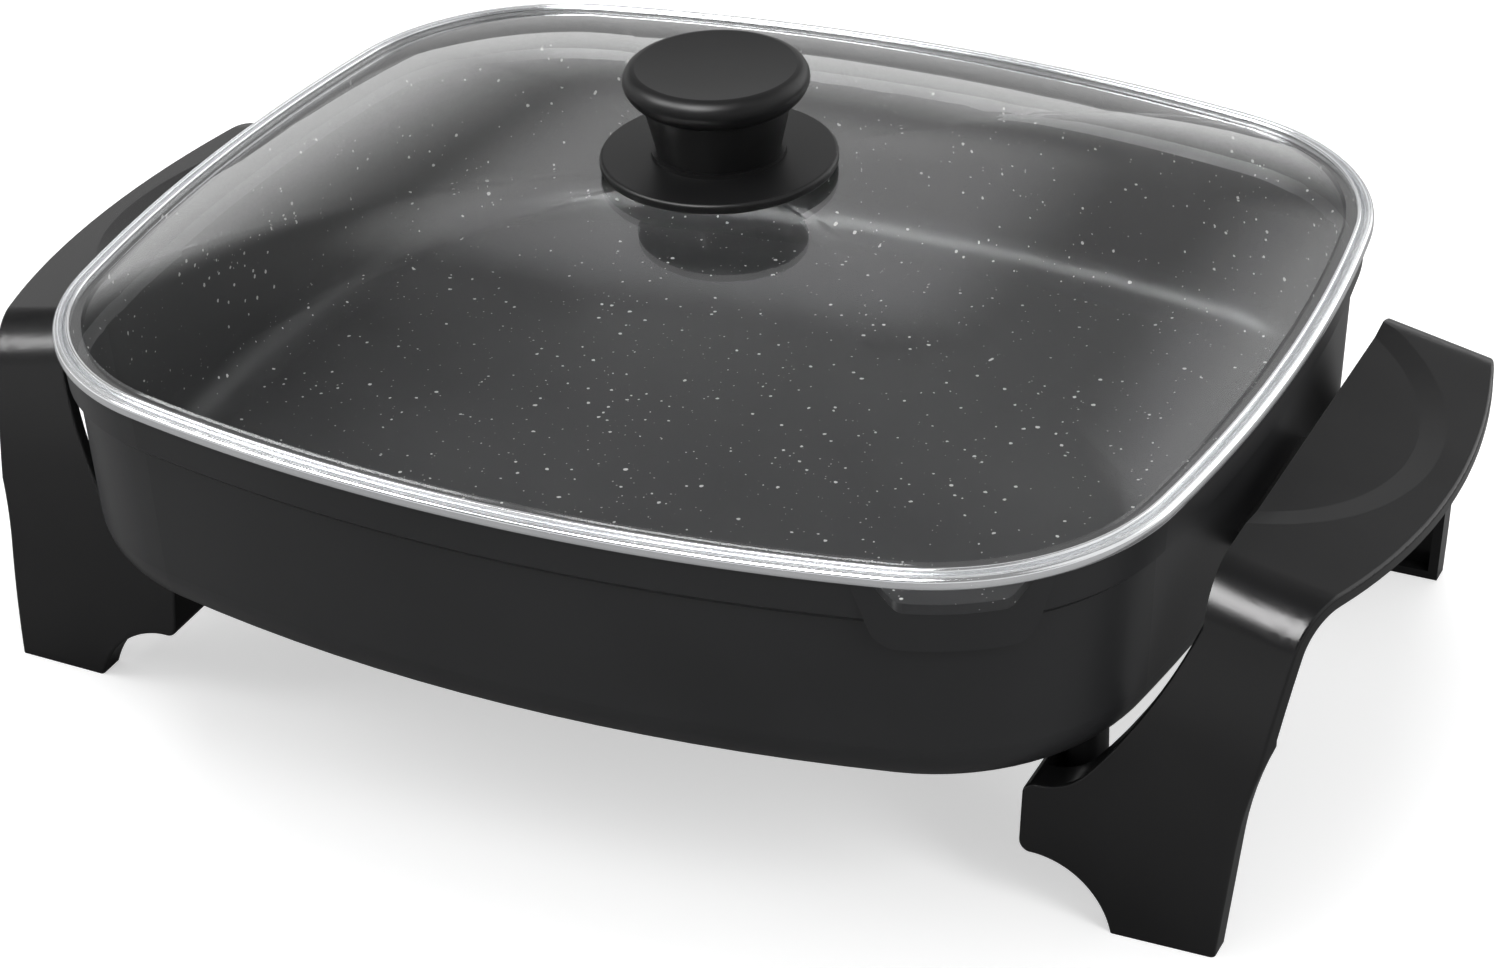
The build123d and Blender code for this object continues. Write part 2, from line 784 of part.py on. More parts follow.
with BuildPart() as right_handle:
    add(arch_slab)
    add(front_full, mode=Mode.INTERSECT)
    outer_edges = right_handle.edges().filter_by(GeomType.LINE, reverse=True)
    fillet(outer_edges.filter_by_position(Axis.X, foot_outer_x, handle_reach), handle_edge_radius)
    add(leg_space.part, mode=Mode.SUBTRACT)
    add(handle_hollow.part, mode=Mode.SUBTRACT)
    add(leg_tabs.part)
    tab_edges = right_handle.edges().group_by(Axis.X)[0]
    fillet(tab_edges.filter_by(GeomType.LINE, reverse=True), leg_tab_edge_radius)
    add(handle_bosses.part)
    add(thumb_rest.part, mode=Mode.SUBTRACT)
    with Locations(
        (handle_screw_x, -handle_screw_half, lug_top_z + spacer_thickness),
        (handle_screw_x, handle_screw_half, lug_top_z + spacer_thickness),
    ):
        Cylinder(
            screw_radius + thread_clearance,
            screw_grip + screw_tip_gap,
            align=(Align.CENTER, Align.CENTER, Align.MIN),
            mode=Mode.SUBTRACT,
        )
    with Locations((leg_boss_x, -leg_boss_y, leg_screw_seat_z), (leg_boss_x, leg_boss_y, leg_screw_seat_z)):
        Cylinder(
            screw_radius + screw_clearance,
            leg_shelf_thickness,
            align=(Align.CENTER, Align.CENTER, Align.MIN),
            mode=Mode.SUBTRACT,
        )

with BuildPart() as left_handle:
    add(mirror(right_handle.part, about=Plane.YZ))

# Insulating plates between the lugs and the handles
lug_outer_x = lug_reach - spacer_overhang
spacer_inner_x = handle_inner_x + spacer_overhang
with BuildPart() as right_spacer:
    with BuildSketch(Plane.XY.offset(lug_top_z)):
        with Locations(((spacer_inner_x + lug_outer_x) / 2, 0)):
            Rectangle(lug_outer_x - spacer_inner_x, lug_length - 2 * spacer_overhang)
        with Locations((handle_screw_x, -handle_screw_half), (handle_screw_x, handle_screw_half)):
            Circle(screw_radius + screw_clearance, mode=Mode.SUBTRACT)
    extrude(amount=spacer_thickness)

with BuildPart() as left_spacer:
    add(mirror(right_spacer.part, about=Plane.YZ))


def screw(radius, length, head_radius, head_height, slot_width, slot_depth):
    # A slotted cheese-head screw, its head below the origin and its shank up along +Z
    with BuildPart(mode=Mode.PRIVATE) as body:
        Cylinder(radius, length, align=(Align.CENTER, Align.CENTER, Align.MIN))
        Cylinder(head_radius, head_height, align=(Align.CENTER, Align.CENTER, Align.MAX))
        fillet(body.edges().group_by(Axis.Z)[0], head_height / 4)
        with Locations((0, 0, -head_height)):
            Box(
                2 * head_radius,
                slot_width,
                slot_depth,
                align=(Align.CENTER, Align.CENTER, Align.MIN),
                mode=Mode.SUBTRACT,
            )
    return body.part


handle_screw_length = lug_thickness + spacer_thickness + screw_grip
with BuildPart() as handle_screws:
    with Locations(*[(x, y, lug_low_z) for x, y in handle_screw_places]):
        add(screw(
            screw_radius, handle_screw_length, screw_head_radius, screw_head_height,
            screw_slot_width, screw_slot_depth,
        ))

leg_screw_length = washer_thickness + leg_shelf_thickness + screw_grip
with BuildPart() as leg_screws:
    with Locations(*[(x, y, leg_screw_seat_z - washer_thickness) for x, y in leg_boss_places]):
        add(screw(
            screw_radius, leg_screw_length, screw_head_radius, screw_head_height,
            screw_slot_width, screw_slot_depth,
        ))

with BuildPart() as leg_washers:
    with BuildSketch(Plane.XY.offset(leg_screw_seat_z - washer_thickness)):
        with Locations(*leg_boss_places):
            Circle(washer_radius)
            Circle(screw_radius + thread_clearance, mode=Mode.SUBTRACT)
    extrude(amount=washer_thickness)

# ---------------------------------------------------------------- terminals and guard

bushing_out = bushing_length - bushing_seat
with BuildPart() as terminal_pins:
    with Locations(*[Location((element_start_x, y, element_z), (0, -90, 0)) for _, y in terminal_places]):
        Cylinder(pin_radius, pin_length, align=(Align.CENTER, Align.CENTER, Align.MIN))
    fillet(terminal_pins.edges().group_by(Axis.X)[0], pin_tip_radius)

with BuildPart() as terminal_bushings:
    with Locations(*[Location((element_start_x, y, element_z), (0, -90, 0)) for _, y in terminal_places]):
        Cylinder(bushing_radius, bushing_length, align=(Align.CENTER, Align.CENTER, Align.MIN))
        Cylinder(
            pin_radius + thread_clearance,
            bushing_length,
            align=(Align.CENTER, Align.CENTER, Align.MIN),
            mode=Mode.SUBTRACT,
        )

# The guard is a tube round the pins with a back plate screwed to the terminal block
with BuildPart() as inlet_guard:
    with BuildSketch(Plane.YZ.offset(terminal_face_x)):
        with Locations((0, element_z)):
            RectangleRounded(2 * guard_half_width, 2 * guard_half_height, guard_corner_radius)
    extrude(amount=-guard_length)
    with BuildSketch(Plane.YZ.offset(terminal_face_x - guard_wall)):
        with Locations((0, element_z)):
            RectangleRounded(
                2 * (guard_half_width - guard_wall),
                2 * (guard_half_height - guard_wall),
                guard_corner_radius - guard_wall / 2,
            )
    extrude(amount=-guard_length, mode=Mode.SUBTRACT)
    with BuildSketch(Plane.YZ.offset(terminal_face_x)):
        with Locations(*[(y, element_z) for _, y in terminal_places]):
            Circle(bushing_radius + screw_clearance)
        with Locations((0, element_z)):
            Circle(probe_radius + screw_clearance)
        with Locations(*[(y, element_z) for _, y in guard_screw_places]):
            Circle(guard_screw_radius + thread_clearance)
    extrude(amount=-guard_wall, mode=Mode.SUBTRACT)

with BuildPart() as guard_screws:
    guard_face_x = terminal_face_x - guard_wall
    with Locations(*[Location((guard_face_x, y, element_z), (0, 90, 0)) for _, y in guard_screw_places]):
        add(screw(
            guard_screw_radius, guard_wall + guard_screw_length - screw_tip_gap,
            guard_screw_head_radius, guard_screw_head_height, small_slot_width, small_slot_depth,
        ))

# ---------------------------------------------------------------- lid

band_bottom_z = rim_z + lid_seat_gap
band_top_z = band_bottom_z + band_height
glass_low_z = band_bottom_z + band_sheet + thread_clearance
glass_top_z = glass_low_z + glass_thickness
dome_start_z = glass_top_z

with BuildPart() as lid_rim:
    with BuildSketch(Plane.XY.offset(band_bottom_z)):
        add(rim_outline(0))
    extrude(amount=band_height)
    fillet(lid_rim.edges().group_by(Axis.Z)[-1], band_edge_radius)
    fillet(lid_rim.edges().group_by(Axis.Z)[0], band_edge_radius / 2)
    with BuildSketch(Plane.XY.offset(band_bottom_z)):
        add(rim_outline(band_bottom_width))
    extrude(amount=band_height / 2, mode=Mode.SUBTRACT)
    with BuildSketch(Plane.XY.offset(band_bottom_z + band_height / 2)):
        add(rim_outline(band_top_width))
    extrude(amount=band_height, mode=Mode.SUBTRACT)
    with BuildSketch(Plane.XY.offset(band_bottom_z + band_sheet)):
        add(rim_outline(band_sheet))
    extrude(amount=band_height - 2 * band_sheet, mode=Mode.SUBTRACT)


def dome(low_z):
    # The lid's dome: scaled outlines that climb along a flattening curve
    with BuildPart(mode=Mode.PRIVATE) as cap:
        for step in range(dome_steps + 1):
            share = 1 - (1 - dome_top_share) * sin(radians(90) * step / dome_steps)
            height = dome_rise * (1 - share**dome_power) / (1 - dome_top_share**dome_power)
            with BuildSketch(Plane.XY.offset(low_z + height)):
                add(rim_outline(dome_edge_inset, share))
        loft()
    return cap.part


with BuildPart() as lid_glass:
    with BuildSketch(Plane.XY.offset(glass_low_z)):
        add(rim_outline(glass_edge_inset))
    extrude(amount=glass_thickness)
    add(dome(glass_top_z))
    add(dome(glass_low_z), mode=Mode.SUBTRACT)
    Cylinder(glass_hole_radius, 2 * (glass_top_z + dome_rise), mode=Mode.SUBTRACT)

# ---------------------------------------------------------------- knob

glass_crown_z = glass_top_z + dome_rise
glass_under_z = glass_low_z + dome_rise
shield_low_z = glass_crown_z + knob_gasket_thickness
shield_top_z = shield_low_z + shield_edge + shield_rise + shield_collar_height
insert_low_z = shield_top_z
knob_low_z = shield_top_z
knob_screw_seat_z = glass_under_z - knob_washer_thickness
knob_bore_radius = knob_screw_radius + thread_clearance

with BuildPart() as knob_gasket:
    with BuildSketch(Plane.XY.offset(glass_crown_z)):
        Circle(knob_gasket_radius)
        Circle(glass_hole_radius, mode=Mode.SUBTRACT)
    extrude(amount=knob_gasket_thickness)

# The wide disc that keeps the hand off the glass
with BuildPart() as knob_shield:
    with BuildSketch(Plane.XZ) as shield_section:
        with BuildLine():
            Polyline(
                (knob_bore_radius, shield_low_z),
                (shield_radius, shield_low_z),
                (shield_radius, shield_low_z + shield_edge),
                (shield_collar_radius, shield_top_z - shield_collar_height),
                (shield_collar_radius, shield_top_z),
                (knob_bore_radius, shield_top_z),
                close=True,
            )
        make_face()
        fillet(shield_section.vertices().group_by(Axis.X)[-1], shield_edge_radius)
    revolve(axis=Axis.Z)

knob_neck_top_z = knob_low_z + knob_neck_height
knob_wide_z = knob_neck_top_z + knob_cap_flare
knob_top_z = knob_wide_z + knob_cap_crown
flare_mid = knob_neck_high_radius + (knob_cap_radius - knob_neck_high_radius) * 0.64
crown_mid = knob_dish_radius + (knob_cap_radius - knob_dish_radius) * 0.8
dish_sphere_radius = (knob_dish_radius**2 + knob_dish_depth**2) / (2 * knob_dish_depth)
dish_turn = degrees(asin(knob_dish_radius / dish_sphere_radius))
dish_low_z = knob_top_z - knob_dish_depth

with BuildPart() as knob:
    with BuildSketch(Plane.XZ):
        with BuildLine():
            Line((0, knob_low_z), (knob_neck_low_radius, knob_low_z))
            Line((knob_neck_low_radius, knob_low_z), (knob_neck_high_radius, knob_neck_top_z))
            ThreePointArc(
                (knob_neck_high_radius, knob_neck_top_z),
                (flare_mid, knob_neck_top_z + knob_cap_flare * 0.4),
                (knob_cap_radius, knob_wide_z),
            )
            ThreePointArc(
                (knob_cap_radius, knob_wide_z),
                (crown_mid, knob_wide_z + knob_cap_crown * 0.64),
                (knob_dish_radius, knob_top_z),
            )
            CenterArc((0, dish_low_z + dish_sphere_radius), dish_sphere_radius, 270, dish_turn)
            Line((0, dish_low_z), (0, knob_low_z))
        make_face()
    revolve(axis=Axis.Z)
    with Locations((0, 0, insert_low_z)):
        Cylinder(
            insert_radius,
            insert_height,
            align=(Align.CENTER, Align.CENTER, Align.MIN),
            mode=Mode.SUBTRACT,
        )

with BuildPart() as knob_insert:
    with BuildSketch(Plane.XY.offset(insert_low_z)):
        Circle(insert_radius)
        Circle(knob_bore_radius, mode=Mode.SUBTRACT)
    extrude(amount=insert_height)

with BuildPart() as knob_washer:
    with BuildSketch(Plane.XY.offset(knob_screw_seat_z)):
        Circle(knob_washer_radius)
        Circle(knob_bore_radius, mode=Mode.SUBTRACT)
    extrude(amount=knob_washer_thickness)

with BuildPart() as knob_screw:
    with Locations((0, 0, knob_screw_seat_z)):
        add(screw(
            knob_screw_radius, insert_low_z + insert_height - knob_screw_seat_z - screw_tip_gap,
            knob_screw_head_radius, knob_screw_head_height, screw_slot_width, screw_slot_depth,
        ))

# ---------------------------------------------------------------- heat controller

guard_mouth_x = terminal_face_x - guard_length
controller_front_x = guard_mouth_x - controller_gap
controller_back_x = controller_front_x - controller_length
controller_inner_front_x = controller_front_x - controller_wall
controller_inner_back_x = controller_back_x + controller_wall
controller_low_z = element_z - controller_half_height
controller_high_z = element_z + controller_half_height
nose_half_width = guard_half_width - guard_wall - nose_clearance
nose_half_height = guard_half_height - guard_wall - nose_clearance
nose_tip_x = terminal_face_x - bushing_out - nose_tip_gap
nose_tail_x = controller_inner_front_x - nose_flange - nose_tail
sleeve_inner_radius = pin_radius + sleeve_fit
sleeve_outer_radius = sleeve_inner_radius + sleeve_wall
sleeve_back_x = terminal_face_x + bushing_seat - pin_length - sleeve_gap
pillar_x = controller_inner_front_x - pillar_x_inset
pillar_places = [(pillar_x, -pillar_y), (pillar_x, pillar_y)]
gland_z = element_z - gland_drop
lamp_x = controller_back_x + lamp_from_back

# Both halves of the housing come from one hollow block with its openings
with BuildPart() as housing_block:
    with BuildSketch(Plane.YZ.offset(controller_back_x)):
        with Locations((0, element_z)):
            RectangleRounded(
                2 * controller_half_width,
                2 * controller_half_height,
                controller_corner_radius,
            )
    extrude(amount=controller_length)
    fillet(housing_block.edges().filter_by(Plane.YZ), controller_edge_radius)
    with BuildSketch(Plane.YZ.offset(controller_inner_back_x)):
        with Locations((0, element_z)):
            RectangleRounded(
                2 * (controller_half_width - controller_wall),
                2 * (controller_half_height - controller_wall),
                controller_corner_radius - controller_wall,
            )
    extrude(amount=controller_inner_front_x - controller_inner_back_x, mode=Mode.SUBTRACT)
    # Pillars that the housing screws run through
    with Locations(*[(x, y, element_z) for x, y in pillar_places]):
        Cylinder(pillar_radius, 2 * (controller_half_height - controller_wall / 2))
    # Mouth for the nose
    with BuildSketch(Plane.YZ.offset(controller_inner_front_x)):
        with Locations((0, element_z)):
            Rectangle(2 * nose_half_width, 2 * nose_half_height)
    extrude(amount=controller_wall, mode=Mode.SUBTRACT)
    # Hole for the dial's shaft
    with Locations(Location((controller_back_x, 0, element_z), (0, 90, 0))):
        Cylinder(shaft_radius + shaft_fit, 3 * controller_wall, mode=Mode.SUBTRACT)
    # Hole for the cord's gland
    with Locations(Location((controller_back_x, gland_y, gland_z), (0, 90, 0))):
        Cylinder(gland_radius + thread_clearance, 3 * controller_wall, mode=Mode.SUBTRACT)
    # Hole for the lamp's lens
    with Locations((lamp_x, lamp_y, controller_high_z)):
        Cylinder(lens_radius + thread_clearance, 3 * controller_wall, mode=Mode.SUBTRACT)
    # Screw holes from below
    with Locations(*[(x, y, controller_low_z) for x, y in pillar_places]):
        Cylinder(
            housing_screw_radius + thread_clearance,
            controller_half_height + housing_screw_reach,
            align=(Align.CENTER, Align.CENTER, Align.MIN),
            mode=Mode.SUBTRACT,
        )
        Cylinder(
            housing_screw_head_radius + thread_clearance,
            housing_screw_head_height,
            align=(Align.CENTER, Align.CENTER, Align.MIN),
            mode=Mode.SUBTRACT,
        )

with BuildPart() as controller_top:
    add(housing_block.part)
    split(bisect_by=Plane.XY.offset(element_z), keep=Keep.TOP)

with BuildPart() as controller_base:
    add(housing_block.part)
    split(bisect_by=Plane.XY.offset(element_z), keep=Keep.BOTTOM)

with BuildPart() as housing_screws:
    with Locations(*[(x, y, controller_low_z + housing_screw_head_height) for x, y in pillar_places]):
        add(screw(
            housing_screw_radius,
            controller_half_height + housing_screw_reach - housing_screw_head_height - screw_tip_gap,
            housing_screw_head_radius, housing_screw_head_height,
            small_slot_width, small_slot_depth,
        ))

# The nose that enters the guard and carries the contact sleeves and the probe
with BuildPart() as contact_block:
    with BuildSketch(Plane.YZ.offset(nose_tail_x + nose_tail)):
        with Locations((0, element_z)):
            Rectangle(2 * (nose_half_width - nose_clearance), 2 * (nose_half_height - nose_clearance))
    extrude(amount=nose_tip_x - nose_tail_x - nose_tail)
    with BuildSketch(Plane.YZ.offset(nose_tail_x)):
        with Locations((0, element_z)):
            Rectangle(2 * nose_tail_half_width, 2 * (nose_half_height - nose_clearance))
    extrude(amount=nose_tail)
    with BuildSketch(Plane.YZ.offset(controller_inner_front_x - nose_flange)):
        with Locations((0, element_z)):
            Rectangle(
                2 * (nose_half_width + nose_flange_margin),
                2 * (nose_half_height + nose_flange_margin),
            )
    extrude(amount=nose_flange)
    with Locations(*[Location((nose_tip_x, y, element_z), (0, -90, 0)) for _, y in terminal_places]):
        Cylinder(
            sleeve_outer_radius + thread_clearance,
            nose_tip_x - sleeve_back_x,
            align=(Align.CENTER, Align.CENTER, Align.MIN),
            mode=Mode.SUBTRACT,
        )
    with Locations(Location((nose_tip_x, 0, element_z), (0, -90, 0))):
        Cylinder(
            probe_radius + thread_clearance,
            nose_tip_x - nose_tail_x,
            align=(Align.CENTER, Align.CENTER, Align.MIN),
            mode=Mode.SUBTRACT,
        )

with BuildPart() as contact_sleeves:
    with Locations(*[Location((nose_tip_x, y, element_z), (0, -90, 0)) for _, y in terminal_places]):
        Cylinder(
            sleeve_outer_radius,
            nose_tip_x - sleeve_back_x,
            align=(Align.CENTER, Align.CENTER, Align.MIN),
        )
        Cylinder(
            sleeve_inner_radius,
            nose_tip_x - sleeve_back_x,
            align=(Align.CENTER, Align.CENTER, Align.MIN),
            mode=Mode.SUBTRACT,
        )

probe_tip_x = terminal_face_x + probe_depth - probe_tip_gap
with BuildPart() as probe:
    with Locations(Location((nose_tail_x, 0, element_z), (0, 90, 0))):
        Cylinder(probe_radius, probe_tip_x - nose_tail_x, align=(Align.CENTER, Align.CENTER, Align.MIN))
    fillet(probe.edges().group_by(Axis.X)[-1], probe_radius / 2)

# Thermostat: a frame on the contact block with two blades that the dial's shaft presses
frame_x = nose_tail_x - frame_thickness
with BuildPart() as thermostat_frame:
    with BuildSketch(Plane.YZ.offset(frame_x)):
        with Locations((0, element_z)):
            Rectangle(2 * frame_half_width, 2 * frame_half_height)
            Circle(probe_radius + screw_clearance, mode=Mode.SUBTRACT)
    extrude(amount=frame_thickness)

stack_low_z = element_z - frame_half_height
stack_mid_z = stack_low_z + spacer_block_height / 2
blade_one_x = frame_x - blade_gap - blade_thickness
blade_two_x = blade_one_x - blade_gap - blade_thickness
stack_end_x = blade_two_x - blade_gap
with BuildPart() as thermostat_spacers:
    for face_x in (frame_x - blade_gap, blade_one_x - blade_gap, stack_end_x):
        with Locations((face_x, 0, stack_low_z)):
            Box(
                blade_gap,
                2 * blade_half_width,
                spacer_block_height,
                align=(Align.MIN, Align.CENTER, Align.MIN),
            )
    with Locations(Location((stack_end_x, 0, stack_mid_z), (0, 90, 0))):
        Cylinder(
            rivet_radius + thread_clearance,
            controller_length,
            align=(Align.CENTER, Align.CENTER, Align.MIN),
            mode=Mode.SUBTRACT,
        )

with BuildPart() as thermostat_blades:
    for face_x in (blade_one_x, blade_two_x):
        with Locations((face_x, 0, stack_low_z)):
            Box(
                blade_thickness,
                2 * blade_half_width,
                blade_length,
                align=(Align.MIN, Align.CENTER, Align.MIN),
            )
    with Locations(Location((stack_end_x, 0, stack_mid_z), (0, 90, 0))):
        Cylinder(
            rivet_radius + thread_clearance,
            controller_length,
            align=(Align.CENTER, Align.CENTER, Align.MIN),
            mode=Mode.SUBTRACT,
        )

with BuildPart() as thermostat_rivet:
    with Locations(Location((stack_end_x, 0, stack_mid_z), (0, 90, 0))):
        Cylinder(
            rivet_radius,
            frame_x - stack_end_x,
            align=(Align.CENTER, Align.CENTER, Align.MIN),
        )
        Cylinder(
            2 * rivet_radius,
            rivet_radius / 2,
            align=(Align.CENTER, Align.CENTER, Align.MAX),
        )

contact_z = stack_low_z + blade_length - 1.5 * contact_radius
contact_half_gap = (blade_gap - thread_clearance) / 2
with BuildPart() as contact_points:
    with Locations(Location((blade_one_x, 0, contact_z), (0, -90, 0))):
        Cylinder(contact_radius, contact_half_gap, align=(Align.CENTER, Align.CENTER, Align.MIN))
    with Locations(Location((blade_two_x + blade_thickness, 0, contact_z), (0, 90, 0))):
        Cylinder(contact_radius, contact_half_gap, align=(Align.CENTER, Align.CENTER, Align.MIN))

with BuildPart() as cord_gland:
    with Locations(Location((controller_inner_back_x, gland_y, gland_z), (0, -90, 0))):
        Cylinder(gland_radius, controller_wall + gland_reach, align=(Align.CENTER, Align.CENTER, Align.MIN))
        Cylinder(gland_flange_radius, gland_flange_thickness, align=(Align.CENTER, Align.CENTER, Align.MAX))
    with Locations(Location((controller_back_x, gland_y, gland_z), (0, -90, 0))):
        Cylinder(gland_flange_radius, gland_reach / 2, align=(Align.CENTER, Align.CENTER, Align.MIN))
    with Locations(Location((controller_inner_back_x, gland_y, gland_z), (0, -90, 0))):
        Cylinder(
            gland_bore_radius,
            2 * (controller_wall + gland_reach + gland_flange_thickness),
            mode=Mode.SUBTRACT,
        )

lens_seat_z = controller_high_z - controller_wall
with BuildPart() as lamp_lens:
    with Locations((lamp_x, lamp_y, lens_seat_z)):
        Cylinder(
            lens_radius,
            controller_wall + lens_height,
            align=(Align.CENTER, Align.CENTER, Align.MIN),
        )
    fillet(lamp_lens.edges().group_by(Axis.Z)[-1], lens_height * 0.8)
    with Locations((lamp_x, lamp_y, lens_seat_z)):
        Cylinder(
            lens_flange_radius,
            lens_flange_thickness,
            align=(Align.CENTER, Align.CENTER, Align.MAX),
        )

with BuildPart() as neon_lamp:
    with Locations((lamp_x, lamp_y, lens_seat_z - lens_flange_thickness)):
        Cylinder(lamp_radius, lamp_length, align=(Align.CENTER, Align.CENTER, Align.MAX))
    fillet(neon_lamp.edges().group_by(Axis.Z)[0], lamp_radius * 0.8)

# ---------------------------------------------------------------- dial

shaft_tip_x = blade_two_x - shaft_blade_gap
dial_face_x = controller_back_x - dial_gap
dial_front_x = dial_face_x - dial_depth
with BuildPart() as dial:
    with BuildSketch(Plane.YZ.offset(dial_face_x)):
        with Locations((0, element_z)):
            Circle(dial_radius)
    extrude(amount=-dial_plate_depth)
    fillet(dial.edges().group_by(Axis.X)[0], dial_edge_radius)
    with BuildSketch(Plane.YZ.offset(dial_face_x - dial_plate_depth)):
        with Locations((0, element_z)):
            Circle(dial_radius - dial_grip_inset)
            Rectangle(2 * dial_grip_half_width, 2 * dial_radius, mode=Mode.INTERSECT)
    extrude(amount=dial_plate_depth - dial_depth)
    fillet(dial.edges().group_by(Axis.X)[0], dial_edge_radius)
    with Locations(Location((dial_face_x, 0, element_z), (0, -90, 0))):
        Cylinder(
            shaft_radius + thread_clearance / 2,
            dial_depth / 2,
            align=(Align.CENTER, Align.CENTER, Align.MIN),
            mode=Mode.SUBTRACT,
        )

with BuildPart() as dial_shaft:
    with Locations(Location((dial_face_x - dial_depth / 2, 0, element_z), (0, 90, 0))):
        Cylinder(
            shaft_radius,
            shaft_tip_x - dial_face_x + dial_depth / 2,
            align=(Align.CENTER, Align.CENTER, Align.MIN),
        )
    with Locations(Location((controller_inner_back_x + dial_gap / 2, 0, element_z), (0, 90, 0))):
        Cylinder(shaft_collar_radius, shaft_collar_length, align=(Align.CENTER, Align.CENTER, Align.MIN))

pieces = {
    "pan": pan,
    "heating_element": heating_element,
    "terminal_pins": terminal_pins,
    "terminal_bushings": terminal_bushings,
    "inlet_guard": inlet_guard,
    "guard_screws": guard_screws,
    "right_handle": right_handle,
    "left_handle": left_handle,
    "right_spacer": right_spacer,
    "left_spacer": left_spacer,
    "handle_screws": handle_screws,
    "leg_screws": leg_screws,
    "leg_washers": leg_washers,
    "lid_glass": lid_glass,
    "lid_rim": lid_rim,
    "knob_gasket": knob_gasket,
    "knob_shield": knob_shield,
    "knob": knob,
    "knob_insert": knob_insert,
    "knob_washer": knob_washer,
    "knob_screw": knob_screw,
    "controller_top": controller_top,
    "controller_base": controller_base,
    "housing_screws": housing_screws,
    "contact_block": contact_block,
    "contact_sleeves": contact_sleeves,
    "probe": probe,
    "thermostat_frame": thermostat_frame,
    "thermostat_spacers": thermostat_spacers,
    "thermostat_blades": thermostat_blades,
    "thermostat_rivet": thermostat_rivet,
    "contact_points": contact_points,
    "cord_gland": cord_gland,
    "lamp_lens": lamp_lens,
    "neon_lamp": neon_lamp,
    "dial": dial,
    "dial_shaft": dial_shaft,
}
for name, piece in pieces.items():
    piece.part.label = name
    export_step(piece.part, f"parts/{name}.step")
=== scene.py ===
import json
import math

import bmesh
import bpy
from mathutils import Matrix, Vector


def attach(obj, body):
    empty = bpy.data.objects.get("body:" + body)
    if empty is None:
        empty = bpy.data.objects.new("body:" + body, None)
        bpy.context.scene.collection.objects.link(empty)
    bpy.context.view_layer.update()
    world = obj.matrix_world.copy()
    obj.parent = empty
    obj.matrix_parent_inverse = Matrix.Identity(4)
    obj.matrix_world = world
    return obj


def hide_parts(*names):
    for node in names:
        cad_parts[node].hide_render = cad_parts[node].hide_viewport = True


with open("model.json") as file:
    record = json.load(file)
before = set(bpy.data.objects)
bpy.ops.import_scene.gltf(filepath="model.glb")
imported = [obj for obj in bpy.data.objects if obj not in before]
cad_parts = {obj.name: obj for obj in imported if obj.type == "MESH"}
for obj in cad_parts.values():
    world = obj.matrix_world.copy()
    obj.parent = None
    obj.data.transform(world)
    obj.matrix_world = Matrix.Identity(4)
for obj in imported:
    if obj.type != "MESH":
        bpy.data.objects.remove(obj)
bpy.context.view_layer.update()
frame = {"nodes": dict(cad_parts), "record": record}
nodes = frame["nodes"]
print("skillet: frame loaded,", len(nodes), "nodes")


# node trees: a socket that arithmetic works on, and one method that makes every node

class Wire:
    def __init__(self, paint, socket):
        self.paint = paint
        self.socket = socket

    def reckon(self, operation, first, second):
        return self.paint.node("ShaderNodeMath", {"operation": operation}, [first, second])

    def __add__(self, other):
        return self.reckon("ADD", self, other)

    def __sub__(self, other):
        return self.reckon("SUBTRACT", self, other)

    def __rsub__(self, other):
        return self.reckon("SUBTRACT", other, self)

    def __mul__(self, other):
        return self.reckon("MULTIPLY", self, other)

    def most(self, other):
        return self.reckon("MAXIMUM", self, other)

    def between(self, low, high):  # 0 up to the low end, 1 from the high end
        return self.paint.node(
            "ShaderNodeMapRange",
            {"interpolation_type": "SMOOTHSTEP"},
            {"Value": self, "From Min": low, "From Max": high},
        )

    def above(self, edge, soft):  # 0 below the edge, 1 above it
        return self.between(edge - soft, edge + soft)


class Paint:
    def __init__(self, owner):  # a new material, or the world
        self.owner = owner
        owner.use_nodes = True
        self.tree = owner.node_tree
        self.tree.nodes.clear()

    def node(self, kind, settings=None, inputs=None, output=0):
        made = self.tree.nodes.new(kind)
        for key, value in (settings or {}).items():
            setattr(made, key, value)
        pairs = enumerate(inputs) if isinstance(inputs, list) else (inputs or {}).items()
        for key, value in pairs:
            if isinstance(value, Wire):
                self.tree.links.new(value.socket, made.inputs[key])
            else:
                made.inputs[key].default_value = value
        return Wire(self, made.outputs[output]) if made.outputs else None

    def place(self, stretch=(1, 1, 1)):  # object coordinates, in metres
        spot = self.node("ShaderNodeTexCoord", output="Object")
        return self.node("ShaderNodeMapping", {}, {"Vector": spot, "Scale": stretch})

    def noise(self, scale, detail, stretch=(1, 1, 1)):
        return self.node(
            "ShaderNodeTexNoise", {},
            {"Vector": self.place(stretch), "Scale": scale, "Detail": detail},
        )

    def mix(self, factor, first, second):
        return self.node("ShaderNodeMix", {"data_type": "RGBA"}, {0: factor, 6: first, 7: second}, 2)

    def mottle(self, cloud, soft, look):  # the finish's two tones, in patches with a soft border
        return self.mix(cloud.above(noiseMiddle, soft), look["dark"], look["light"])

    def bump(self, height, distance, strength):
        return self.node("ShaderNodeBump", {}, {"Height": height, "Distance": distance, "Strength": strength})

    def finish(self, sockets):
        shader = self.node("ShaderNodeBsdfPrincipled", {}, sockets)
        self.node("ShaderNodeOutputMaterial", {}, {"Surface": shader})
        return self.owner


noiseMiddle = 0.5


def newPaint(name):
    return Paint(bpy.data.materials.new(name))


def grey(level):
    return (level, level, level, 1.0)


# finishes

mouldedGrain = {"cloudDetail": 4.0, "grainDetail": 2.0, "soft": 0.25}


